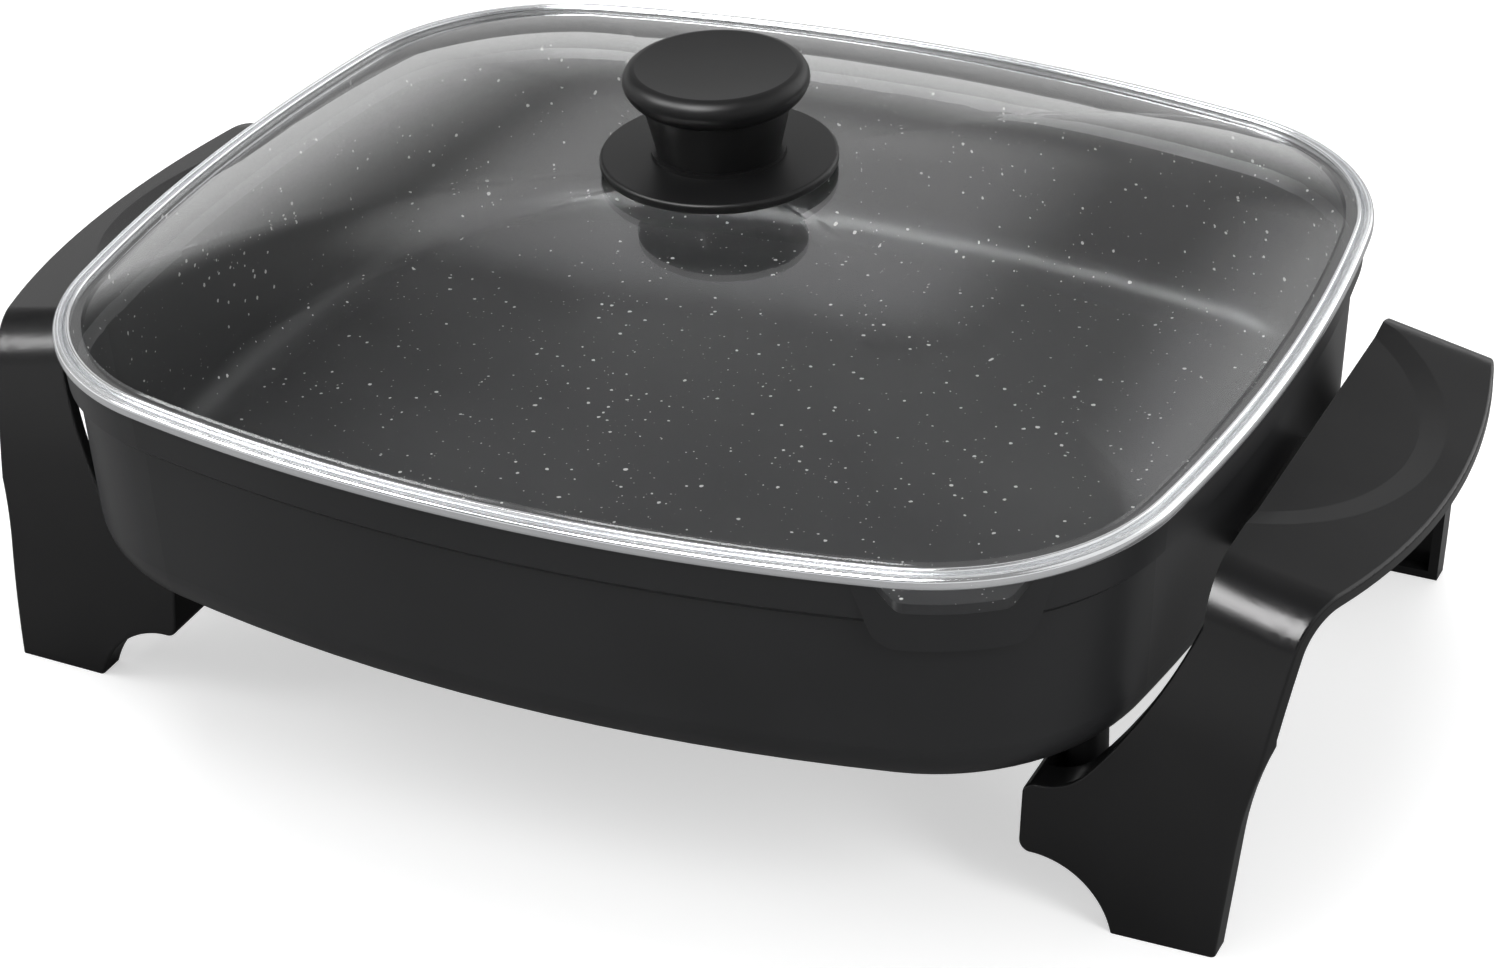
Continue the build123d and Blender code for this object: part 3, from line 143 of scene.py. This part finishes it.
def moulded(name, look, grain):
    paint = newPaint(name)
    cloud = paint.noise(look["cloudScale"], grain["cloudDetail"])
    pores = paint.noise(look["grainScale"], grain["grainDetail"])
    return paint.finish({
        "Base Color": paint.mottle(cloud, grain["soft"], look),
        "Roughness": cloud * look["roughSpread"] + (look["roughness"] - look["roughSpread"] / 2),
        "Specular IOR Level": look["shine"],
        "Normal": paint.bump(pores, look["grainHeight"], look["grainStrength"]),
    })


handlePlastic = {
    "dark": (0.0075, 0.0075, 0.0078, 1), "light": (0.0105, 0.0105, 0.0108, 1),
    "roughness": 0.26, "roughSpread": 0.06, "shine": 0.36,
    "cloudScale": 24.0, "grainScale": 1500.0, "grainHeight": 0.00003, "grainStrength": 0.25,
}
knobPlastic = {
    "dark": (0.0050, 0.0050, 0.0052, 1), "light": (0.0080, 0.0080, 0.0082, 1),
    "roughness": 0.40, "roughSpread": 0.06, "shine": 0.28,
    "cloudScale": 40.0, "grainScale": 2200.0, "grainHeight": 0.00003, "grainStrength": 0.35,
}
housingPlastic = {
    "dark": (0.0085, 0.0085, 0.0088, 1), "light": (0.0120, 0.0120, 0.0123, 1),
    "roughness": 0.38, "roughSpread": 0.08, "shine": 0.36,
    "cloudScale": 50.0, "grainScale": 1800.0, "grainHeight": 0.00004, "grainStrength": 0.4,
}
panEnamel = {
    "dark": (0.0140, 0.0142, 0.0150, 1), "light": (0.0185, 0.0188, 0.0198, 1),
    "roughness": 0.38, "roughSpread": 0.06, "shine": 0.42,
    "cloudScale": 14.0, "grainScale": 420.0, "grainHeight": 0.00006, "grainStrength": 0.3,
}
nonstick = {
    "dark": (0.0170, 0.0173, 0.0182, 1), "light": (0.0230, 0.0233, 0.0242, 1), "fleck": (0.62, 0.62, 0.60, 1),
    "roughness": 0.40, "fleckRough": 0.12, "shine": 0.45, "cloudScale": 18.0,
    "fine": {"scale": 400.0, "radius": 0.14, "share": 0.75}, "fineLevel": 0.6,
    "wide": {"scale": 240.0, "radius": 0.18, "share": 0.70},
    "bend": {"finer": 2.2, "detail": 2.0, "reach": 0.25, "soft": 0.02},
    "bumpScale": 600.0, "bumpDetail": 3.0, "bumpHeight": 0.00005, "bumpStrength": 0.12,
}


def flecks(paint, dots, bend):  # irregular dots: bent cells, each with its own luck for size and presence
    scale, radius, share = dots["scale"], dots["radius"], dots["share"]
    ripple = paint.node(
        "ShaderNodeTexNoise", {},
        {"Vector": paint.place(), "Scale": scale * bend["finer"], "Detail": bend["detail"]}, 1,
    )
    shift = paint.node("ShaderNodeVectorMath", {"operation": "SCALE"}, {0: ripple, "Scale": bend["reach"] / scale})
    place = paint.node("ShaderNodeVectorMath", {"operation": "ADD"}, {0: paint.place(), 1: shift})
    cells = {"Vector": place, "Scale": scale, "Randomness": 1.0}
    distance = paint.node("ShaderNodeTexVoronoi", {"feature": "F1"}, cells)
    tint = paint.node("ShaderNodeTexVoronoi", {"feature": "F1"}, cells, 1)
    luck = paint.node("ShaderNodeSeparateColor", {}, [tint])
    return (luck * (radius / share) - distance + (radius - radius / share)).above(0.0, bend["soft"])


def speckledCoat(look, grain):
    paint = newPaint("speckledNonstick")
    cloud = paint.noise(look["cloudScale"], grain["cloudDetail"])
    fine = flecks(paint, look["fine"], look["bend"]) * look["fineLevel"]
    dots = fine.most(flecks(paint, look["wide"], look["bend"]))
    pores = paint.noise(look["bumpScale"], look["bumpDetail"])
    return paint.finish({
        "Base Color": paint.mix(dots, paint.mottle(cloud, grain["soft"], look), look["fleck"]),
        "Roughness": dots * look["fleckRough"] + look["roughness"],
        "Specular IOR Level": look["shine"],
        "Normal": paint.bump(pores, look["bumpHeight"], look["bumpStrength"]),
    })


metalGrain = {"detail": 3.0, "cloudScale": 30.0, "soft": 0.3, "brushHeight": 0.00002}


def metal(name, look, grain):
    paint = newPaint(name)
    streak = paint.noise(look["streakScale"], grain["detail"], look["stretch"])
    cloud = paint.noise(grain["cloudScale"], grain["detail"])
    return paint.finish({
        "Base Color": paint.mottle(cloud, grain["soft"], look),
        "Metallic": look["metallic"],
        "Roughness": streak * look["roughSpread"] + look["roughness"],
        "Normal": paint.bump(streak, grain["brushHeight"], look["brush"]),
    })


bandSteel = {
    "dark": (0.80, 0.81, 0.83, 1), "light": (0.88, 0.89, 0.90, 1), "metallic": 0.8,
    "roughness": 0.08, "roughSpread": 0.08, "streakScale": 300.0, "stretch": (0.15, 0.15, 4.0), "brush": 0.10,
}
sheathSteel = {
    "dark": (0.40, 0.41, 0.42, 1), "light": (0.56, 0.57, 0.58, 1), "metallic": 1.0,
    "roughness": 0.28, "roughSpread": 0.14, "streakScale": 400.0, "stretch": (0.3, 1, 1), "brush": 0.25,
}
nickelPlate = {
    "dark": (0.60, 0.59, 0.57, 1), "light": (0.72, 0.71, 0.69, 1), "metallic": 1.0,
    "roughness": 0.22, "roughSpread": 0.12, "streakScale": 600.0, "stretch": (1, 1, 1), "brush": 0.2,
}
brassAlloy = {
    "dark": (0.55, 0.38, 0.14, 1), "light": (0.72, 0.53, 0.24, 1), "metallic": 1.0,
    "roughness": 0.25, "roughSpread": 0.15, "streakScale": 500.0, "stretch": (1, 1, 1), "brush": 0.2,
}
glassSmudge = {"scale": 9.0, "detail": 5.0}


def clearGlass(look, smudges):  # lets the lamps through to what lies under it
    paint = newPaint(look["name"])
    smudge = paint.noise(smudges["scale"], smudges["detail"])
    glass = paint.node("ShaderNodeBsdfPrincipled", {}, {
        "Base Color": paint.mix(smudge, look["tint"], look["clear"]),
        "Transmission Weight": 1.0,
        "IOR": look["ior"],
        "Roughness": 0.0,
    })
    clear = paint.node("ShaderNodeBsdfTransparent", {}, {"Color": look["shadow"]})
    lamp = paint.node("ShaderNodeLightPath", output="Is Shadow Ray")
    surface = paint.node("ShaderNodeMixShader", {}, [lamp, glass, clear])
    paint.node("ShaderNodeOutputMaterial", {}, {"Surface": surface})
    return paint.owner


lidGlass = {
    "name": "clearGlass", "ior": 1.5,
    "tint": (0.965, 0.98, 0.98, 1), "clear": (0.99, 0.99, 0.99, 1), "shadow": (0.9, 0.91, 0.91, 1),
}
lampGlass = {
    "name": "lampGlass", "ior": 1.45,
    "tint": (0.93, 0.60, 0.40, 1), "clear": (0.97, 0.66, 0.45, 1), "shadow": (0.9, 0.7, 0.5, 1),
}


plainGrain = {
    "cloudDetail": 4.0, "grainDetail": 2.0, "grainFiner": 20, "soft": 0.3,
    "roughSpread": 0.1, "height": 0.00003, "strength": 0.3,
}


def plainCoat(name, look, grain):
    paint = newPaint(name)
    cloud = paint.noise(look["scale"], grain["cloudDetail"])
    pores = paint.noise(look["scale"] * grain["grainFiner"], grain["grainDetail"])
    return paint.finish({
        "Base Color": paint.mottle(cloud, grain["soft"], look),
        "Roughness": cloud * grain["roughSpread"] + look["roughness"],
        "Normal": paint.bump(pores, grain["height"], grain["strength"]),
    })


steatite = {"dark": (0.66, 0.63, 0.57, 1), "light": (0.80, 0.78, 0.72, 1), "scale": 60.0, "roughness": 0.28}
silicone = {"dark": (0.012, 0.012, 0.013, 1), "light": (0.022, 0.022, 0.023, 1), "scale": 80.0, "roughness": 0.55}
redLens = {"dark": (0.36, 0.012, 0.008, 1), "light": (0.52, 0.03, 0.02, 1), "scale": 90.0, "roughness": 0.12}

finishes = {
    "pan_aluminium": moulded("panEnamel", panEnamel, mouldedGrain),
    "black_plastic": moulded("handlePlastic", handlePlastic, mouldedGrain),
    "knob_plastic": moulded("knobPlastic", knobPlastic, mouldedGrain),
    "lid_glass": clearGlass(lidGlass, glassSmudge),
    "rim_steel": metal("bandSteel", bandSteel, metalGrain),
    "sheath_steel": metal("sheathSteel", sheathSteel, metalGrain),
    "bright_metal": metal("nickelPlate", nickelPlate, metalGrain),
    "brass": metal("brassAlloy", brassAlloy, metalGrain),
    "ceramic_white": plainCoat("steatite", steatite, plainGrain),
    "gasket_grey": plainCoat("silicone", silicone, plainGrain),
    "lamp_red": plainCoat("redLens", redLens, plainGrain),
    "lamp_glass": clearGlass(lampGlass, glassSmudge),
}
housingBlack = moulded("housingPlastic", housingPlastic, mouldedGrain)
speckled = speckledCoat(nonstick, mouldedGrain)
housingNodes = ("controller_top", "controller_base", "contact_block", "inlet_guard", "dial")

for part in frame["record"]["subparts"]:
    slots = nodes[part["node"]].data.materials
    slots.clear()
    slots.append(housingBlack if part["node"] in housingNodes else finishes[part["material_slot"]])


# the pan keeps its own shape; its inside and its spout get the speckled coat

panCoat = {
    "floor": 0.0625, "floorFacing": 0.5, "floorTop": 0.090,
    "inside": (0.197, 0.174), "insideFacing": 0.15, "rimTop": 0.1392,
    "spout": (0.1504, -0.1567), "spoutReach": 0.031, "spoutLow": 0.1255, "spoutFacing": 0.30, "spoutUnder": -0.2,
}


def isCoated(face, look):
    x, y, z = face.center
    reach = math.hypot(x, y)
    facing = (face.normal.x * x + face.normal.y * y) / max(reach, 1e-6)  # 1 where it faces away from the middle
    if z < look["floor"] or z > look["rimTop"]:
        return False
    if math.hypot(x - look["spout"][0], y - look["spout"][1]) < look["spoutReach"] and z > look["spoutLow"]:
        return facing < look["spoutFacing"] and face.normal.z > look["spoutUnder"]
    onFloor = face.normal.z > look["floorFacing"] and z < look["floorTop"]
    inRim = abs(x) < look["inside"][0] and abs(y) < look["inside"][1]
    return inRim and (facing < -look["insideFacing"] or onFloor)


def coatPanInside(look):
    pan = bpy.data.objects.new("panShell", nodes["pan"].data.copy())
    bpy.context.scene.collection.objects.link(pan)
    mesh = pan.data
    mesh.materials.append(speckled)
    for face in mesh.polygons:
        face.material_index = 1 if isCoated(face, look) else 0
    return pan


panShell = coatPanInside(panCoat)
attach(panShell, "base")
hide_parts("pan")
print("skillet: pan coated")


# the handles' moulded edges are rounded

handleEdge = {
    "width": 0.0010, "segments": 3, "sharp": math.radians(38), "flat": math.radians(0.4), "merge": 0.000002,
    "restCentre": (0.1675, 0.0106), "restEdge": (0.0700, 0.0825), "restCrease": math.radians(8), "restLow": 0.100,
}


def isRestEdge(edge, look):  # the borders of the thumb rest's slope are crisp creases
    if len(edge.link_faces) != 2 or edge.calc_face_angle() < look["restCrease"]:
        return False
    low, high = look["restEdge"]
    for vert in edge.verts:
        reach = math.hypot(abs(vert.co.x) - look["restCentre"][0], vert.co.y - look["restCentre"][1])
        if vert.co.z < look["restLow"] or not low < reach < high:
            return False
    return True


def roundedHandle(name, source, look):
    shape = bmesh.new()
    shape.from_mesh(nodes[source].data)
    bmesh.ops.remove_doubles(shape, verts=shape.verts[:], dist=look["merge"])
    bmesh.ops.dissolve_limit(shape, angle_limit=look["flat"], verts=shape.verts[:], edges=shape.edges[:])
    shape.edges.index_update()
    rest = [edge.index for edge in shape.edges if isRestEdge(edge, look)]
    mesh = bpy.data.meshes.new(name)
    shape.to_mesh(mesh)
    shape.free()
    mesh.shade_smooth()
    mesh.set_sharp_from_angle(angle=look["sharp"])
    for index in rest:
        mesh.edges[index].use_edge_sharp = True
    mesh.materials.append(finishes["black_plastic"])
    handle = bpy.data.objects.new(name, mesh)
    bpy.context.scene.collection.objects.link(handle)
    bevel = handle.modifiers.new("edges", "BEVEL")
    bevel.limit_method = "ANGLE"
    bevel.angle_limit = look["sharp"]
    bevel.width = look["width"]
    bevel.segments = look["segments"]
    smooth = handle.modifiers.new("normals", "WEIGHTED_NORMAL")
    smooth.keep_sharp = True
    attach(handle, "base")
    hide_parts(source)


roundedHandle("rightHandleShell", "right_handle", handleEdge)
roundedHandle("leftHandleShell", "left_handle", handleEdge)
print("skillet: handles rounded")


# the lid's steel band, rolled with two beads, the wide one outside

steelSection = {
    "corners": ((0.0000, 0.1408), (0.0005, 0.1401), (0.0058, 0.1401), (0.0058, 0.1437)),
    "beads": (
        {"inset": 0.0050, "height": 0.1442, "radius": 0.0007},
        {"inset": 0.0017, "height": 0.1424, "radius": 0.0017},
    ),
    "beadSteps": 8,
}
steelPath = {
    "reach": 0.203, "half": 0.180, "sideRadius": 0.690, "frontRadius": 0.610,
    "corner": (0.113195, 0.083676), "bendStep": math.radians(2.5), "bowStep": math.radians(0.5),
    "merge": 0.00002, "sharp": math.radians(40),
}


def bandSection(look):  # each corner's inset from the rim's outline, and its height
    places = list(look["corners"])
    for bead in look["beads"]:
        for step in range(look["beadSteps"] + 1):
            turn = math.radians(180 * step / look["beadSteps"])
            across = bead["inset"] + bead["radius"] * math.cos(turn)
            places.append((across, bead["height"] + bead["radius"] * math.sin(turn)))
    return places


def bandArcs(look):  # each arc's centre, turn and step, once round from +X
    side = look["reach"] - look["sideRadius"]
    front = look["half"] - look["frontRadius"]
    x, y = look["corner"]
    low = math.atan2(y, x - side)
    high = math.atan2(y - front, x)
    bend = (high - low, look["bendStep"])
    bow = (math.pi - 2 * high, look["bowStep"])
    return (
        ((side, 0), (low, look["bowStep"])), ((x, y), bend), ((0, front), bow), ((-x, y), bend),
        ((-side, 0), (2 * low, look["bowStep"])), ((-x, -y), bend), ((0, -front), bow), ((x, -y), bend),
        ((side, 0), (low, look["bowStep"])),
    )


def spinBand(section, path):
    shape = bmesh.new()
    ring = [shape.verts.new((path["reach"] - inset, 0, height)) for inset, height in bandSection(section)]
    last = ring + [shape.edges.new((ring[place - 1], ring[place])) for place in range(len(ring))]
    for centre, (turn, step) in bandArcs(path):
        spun = bmesh.ops.spin(
            shape, geom=last, cent=(centre[0], centre[1], 0), axis=(0, 0, 1),
            angle=turn, steps=max(2, round(turn / step)),
        )
        last = spun["geom_last"]
    bmesh.ops.remove_doubles(shape, verts=shape.verts[:], dist=path["merge"])
    bmesh.ops.recalc_face_normals(shape, faces=shape.faces[:])
    mesh = bpy.data.meshes.new("steelBand")
    shape.to_mesh(mesh)
    shape.free()
    mesh.shade_smooth()
    mesh.set_sharp_from_angle(angle=path["sharp"])
    mesh.materials.append(finishes["rim_steel"])
    band = bpy.data.objects.new("steelBand", mesh)
    bpy.context.scene.collection.objects.link(band)
    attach(band, "lid")
    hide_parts("lid_rim")


spinBand(steelSection, steelPath)
print("skillet: band rolled")


# numbers on the dial, and the mark on the housing that they turn to

dialMarks = {
    "centre": (0.0, 0.053), "radius": 0.0148, "face": -0.24562, "raise": 0.00012, "size": 0.0034,
    "numbers": (("OFF", 0), ("200", 58), ("250", 122), ("300", 161), ("350", 199), ("400", 238)),
    "index": {"face": -0.24102, "inner": 0.0222, "radius": 0.00256, "raise": 0.00018},
    "merge": 0.000001,
}
markPaint = {"dark": (0.62, 0.62, 0.60, 1), "light": (0.78, 0.78, 0.76, 1), "scale": 300.0, "roughness": 0.45}


def faceWest(centre, turn):  # from the flat text plane to a face that looks along -X
    stand = Matrix(((0, 0, -1, 0), (-1, 0, 0, 0), (0, 1, 0, 0), (0, 0, 0, 1)))
    spin = Matrix.Rotation(-turn, 4, "X")
    return Matrix.Translation((0, centre[0], centre[1])) @ spin @ stand


def markMesh(text, look):
    words = bpy.data.curves.new("number", "FONT")
    words.body = text
    words.size = look["size"]
    words.align_x = "CENTER"
    words.align_y = "CENTER"
    words.extrude = look["raise"]
    holder = bpy.data.objects.new("number", words)
    bpy.context.scene.collection.objects.link(holder)
    bpy.context.view_layer.update()
    mesh = bpy.data.meshes.new_from_object(holder.evaluated_get(bpy.context.evaluated_depsgraph_get()))
    bpy.data.objects.remove(holder)
    return mesh


def finishMarks(name, shape, body, paint, merge):
    bmesh.ops.remove_doubles(shape, verts=shape.verts[:], dist=merge)
    bmesh.ops.recalc_face_normals(shape, faces=shape.faces[:])
    mesh = bpy.data.meshes.new(name)
    shape.to_mesh(mesh)
    shape.free()
    mesh.materials.append(paint)
    piece = bpy.data.objects.new(name, mesh)
    bpy.context.scene.collection.objects.link(piece)
    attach(piece, body)


def markDial(look):
    white = plainCoat("markPaint", markPaint, plainGrain)
    numbers = bmesh.new()
    for text, degrees in look["numbers"]:
        mesh = markMesh(text, look)
        mesh.transform(Matrix.Translation((look["radius"], 0, 0)))
        mesh.transform(faceWest(look["centre"], math.radians(degrees)))
        mesh.transform(Matrix.Translation((look["face"], 0, 0)))
        numbers.from_mesh(mesh)
    finishMarks("dialNumbers", numbers, "temperature_dial", white, look["merge"])
    index = look["index"]
    arrow = bmesh.new()
    bmesh.ops.create_circle(arrow, cap_ends=True, segments=3, radius=index["radius"])
    grown = bmesh.ops.extrude_face_region(arrow, geom=arrow.faces[:])
    raised = [part for part in grown["geom"] if isinstance(part, bmesh.types.BMVert)]
    bmesh.ops.translate(arrow, verts=raised, vec=(0, 0, index["raise"]))
    quarter = Matrix.Rotation(math.radians(90), 3, "Z")
    bmesh.ops.rotate(arrow, verts=arrow.verts[:], cent=(0, 0, 0), matrix=quarter)
    bmesh.ops.translate(arrow, verts=arrow.verts[:], vec=(index["inner"] + index["radius"], 0, 0))
    bmesh.ops.transform(arrow, verts=arrow.verts[:], matrix=faceWest(look["centre"], 0.0))
    bmesh.ops.translate(arrow, verts=arrow.verts[:], vec=(index["face"], 0, 0))
    finishMarks("indexMark", arrow, "controller", white, look["merge"])


markDial(dialMarks)
print("skillet: dial marked")


# floor, sky, lamps and camera

stageLook = {
    "size": 9.0, "floorColour": grey(0.50), "seenColour": grey(1.6), "mirrorColour": grey(0.30), "whiteShare": 0.5,
}


def makeFloor(look):
    shape = bmesh.new()
    bmesh.ops.create_grid(shape, x_segments=2, y_segments=2, size=look["size"] / 2)
    mesh = bpy.data.meshes.new("studioFloor")
    shape.to_mesh(mesh)
    shape.free()
    floor = bpy.data.objects.new("studioFloor", mesh)
    bpy.context.scene.collection.objects.link(floor)
    paint = newPaint("studioFloor")
    camera = paint.node("ShaderNodeLightPath", output="Is Camera Ray")
    through = paint.node("ShaderNodeLightPath", output="Is Transmission Ray")
    mirrored = paint.node("ShaderNodeLightPath", output="Is Glossy Ray")
    seen = camera.most(through)
    direct = paint.mix(seen, look["floorColour"], look["seenColour"])
    lit = paint.node("ShaderNodeBsdfDiffuse", {}, {"Color": paint.mix(mirrored, direct, look["mirrorColour"])})
    white = paint.node("ShaderNodeEmission", {}, {"Color": grey(1.0), "Strength": 1.0})
    surface = paint.node("ShaderNodeMixShader", {}, [seen * look["whiteShare"], lit, white])
    paint.node("ShaderNodeOutputMaterial", {}, {"Surface": surface})
    mesh.materials.append(paint.owner)


makeFloor(stageLook)

skyLook = {
    "fill": 0.55, "mirrorBase": 0.13, "glowLow": 0.02, "glowHigh": 0.36, "glow": 0.88,
    "boxes": (
        {"toward": (-0.09, -0.575, 0.82), "inner": 0.994, "outer": 0.945, "level": 24.0},
        {"toward": (-0.63, -0.386, 0.65), "inner": 0.994, "outer": 0.945, "level": 26.0},
        {"toward": (-0.38, 0.765, 0.52), "inner": 0.99, "outer": 0.955, "level": 0.5},
        {"toward": (-0.15, 0.75, 0.64), "inner": 0.97, "outer": 0.80, "level": 0.18},
        {"toward": (0.50, 0.78, 0.37), "inner": 0.97, "outer": 0.85, "level": 1.6},
        {"toward": (0.80, 0.10, 0.59), "inner": 0.97, "outer": 0.85, "level": 0.8},
        {"toward": (-0.86, -0.20, 0.47), "inner": 0.97, "outer": 0.85, "level": 0.3},
    ),
}


def makeSky(look):  # white for the camera, even fill for soft light, darker with soft boxes in mirrors and glass
    world = bpy.data.worlds.new("studioSky")
    bpy.context.scene.world = world
    sky = Paint(world)
    way = sky.node("ShaderNodeTexCoord", output="Generated")
    height = sky.node("ShaderNodeSeparateXYZ", {}, [way], 2)
    glow = 1.0 - height.between(look["glowLow"], look["glowHigh"])
    mirror = glow * look["glow"] + look["mirrorBase"]
    for box in look["boxes"]:
        along = sky.node("ShaderNodeVectorMath", {"operation": "DOT_PRODUCT"}, {0: way, 1: box["toward"]}, 1)
        mirror = mirror + along.between(box["outer"], box["inner"]) * box["level"]
    glossy = sky.node("ShaderNodeLightPath", output="Is Glossy Ray")
    through = sky.node("ShaderNodeLightPath", output="Is Transmission Ray")
    camera = sky.node("ShaderNodeLightPath", output="Is Camera Ray")
    mirrored = glossy.most(through)
    level = mirrored * (mirror - look["fill"]) + look["fill"]
    level = camera * (1.0 - level) + level
    back = sky.node("ShaderNodeBackground", {}, {"Color": grey(1.0), "Strength": level})
    sky.node("ShaderNodeOutputWorld", {}, {"Surface": back})


makeSky(skyLook)

lamps = (
    {"name": "overheadBox", "place": (-0.25, 0.45, 1.60), "aim": (0, 0, 0.1), "size": (1.6, 0.9), "power": 16.0},
    {"name": "rightBox", "place": (1.30, -0.55, 0.95), "aim": (0.1, 0, 0.08), "size": (0.5, 1.0), "power": 9.0},
    {"name": "leftBox", "place": (-1.50, -0.50, 0.80), "aim": (-0.1, 0, 0.08), "size": (0.6, 1.0), "power": 6.0},
)


def addLamp(lamp):  # seen by neither mirrors nor glass, where the sky's soft boxes stand for it
    light = bpy.data.lights.new(lamp["name"], "AREA")
    light.shape = "RECTANGLE"
    light.size, light.size_y = lamp["size"]
    light.energy = lamp["power"]
    holder = bpy.data.objects.new(lamp["name"], light)
    bpy.context.scene.collection.objects.link(holder)
    holder.visible_glossy = False
    holder.visible_transmission = False
    holder.location = lamp["place"]
    aim = Vector(lamp["aim"]) - Vector(lamp["place"])
    holder.rotation_euler = aim.to_track_quat("-Z", "Y").to_euler()


for lampLook in lamps:
    addLamp(lampLook)

photoView = {
    "place": (0.52698, -1.04223, 0.76071),
    "right": (0.90321, 0.42800, -0.03201),
    "up": (-0.19750, 0.48069, 0.85436),
    "back": (0.38106, -0.76535, 0.51869),
    "lens": 93.81, "sensor": 36.0, "shift": -0.0022,
}


def addCamera(view):
    eye = bpy.data.cameras.new("photoView")
    eye.lens = view["lens"]
    eye.sensor_width = view["sensor"]
    eye.shift_x = view["shift"]
    camera = bpy.data.objects.new("photoView", eye)
    bpy.context.scene.collection.objects.link(camera)
    turn = Matrix((view["right"], view["up"], view["back"])).transposed().to_4x4()
    camera.matrix_world = Matrix.Translation(view["place"]) @ turn
    bpy.context.scene.camera = camera


addCamera(photoView)
bpy.context.scene.view_settings.view_transform = "Standard"
print("skillet: stage, lamps and camera set")
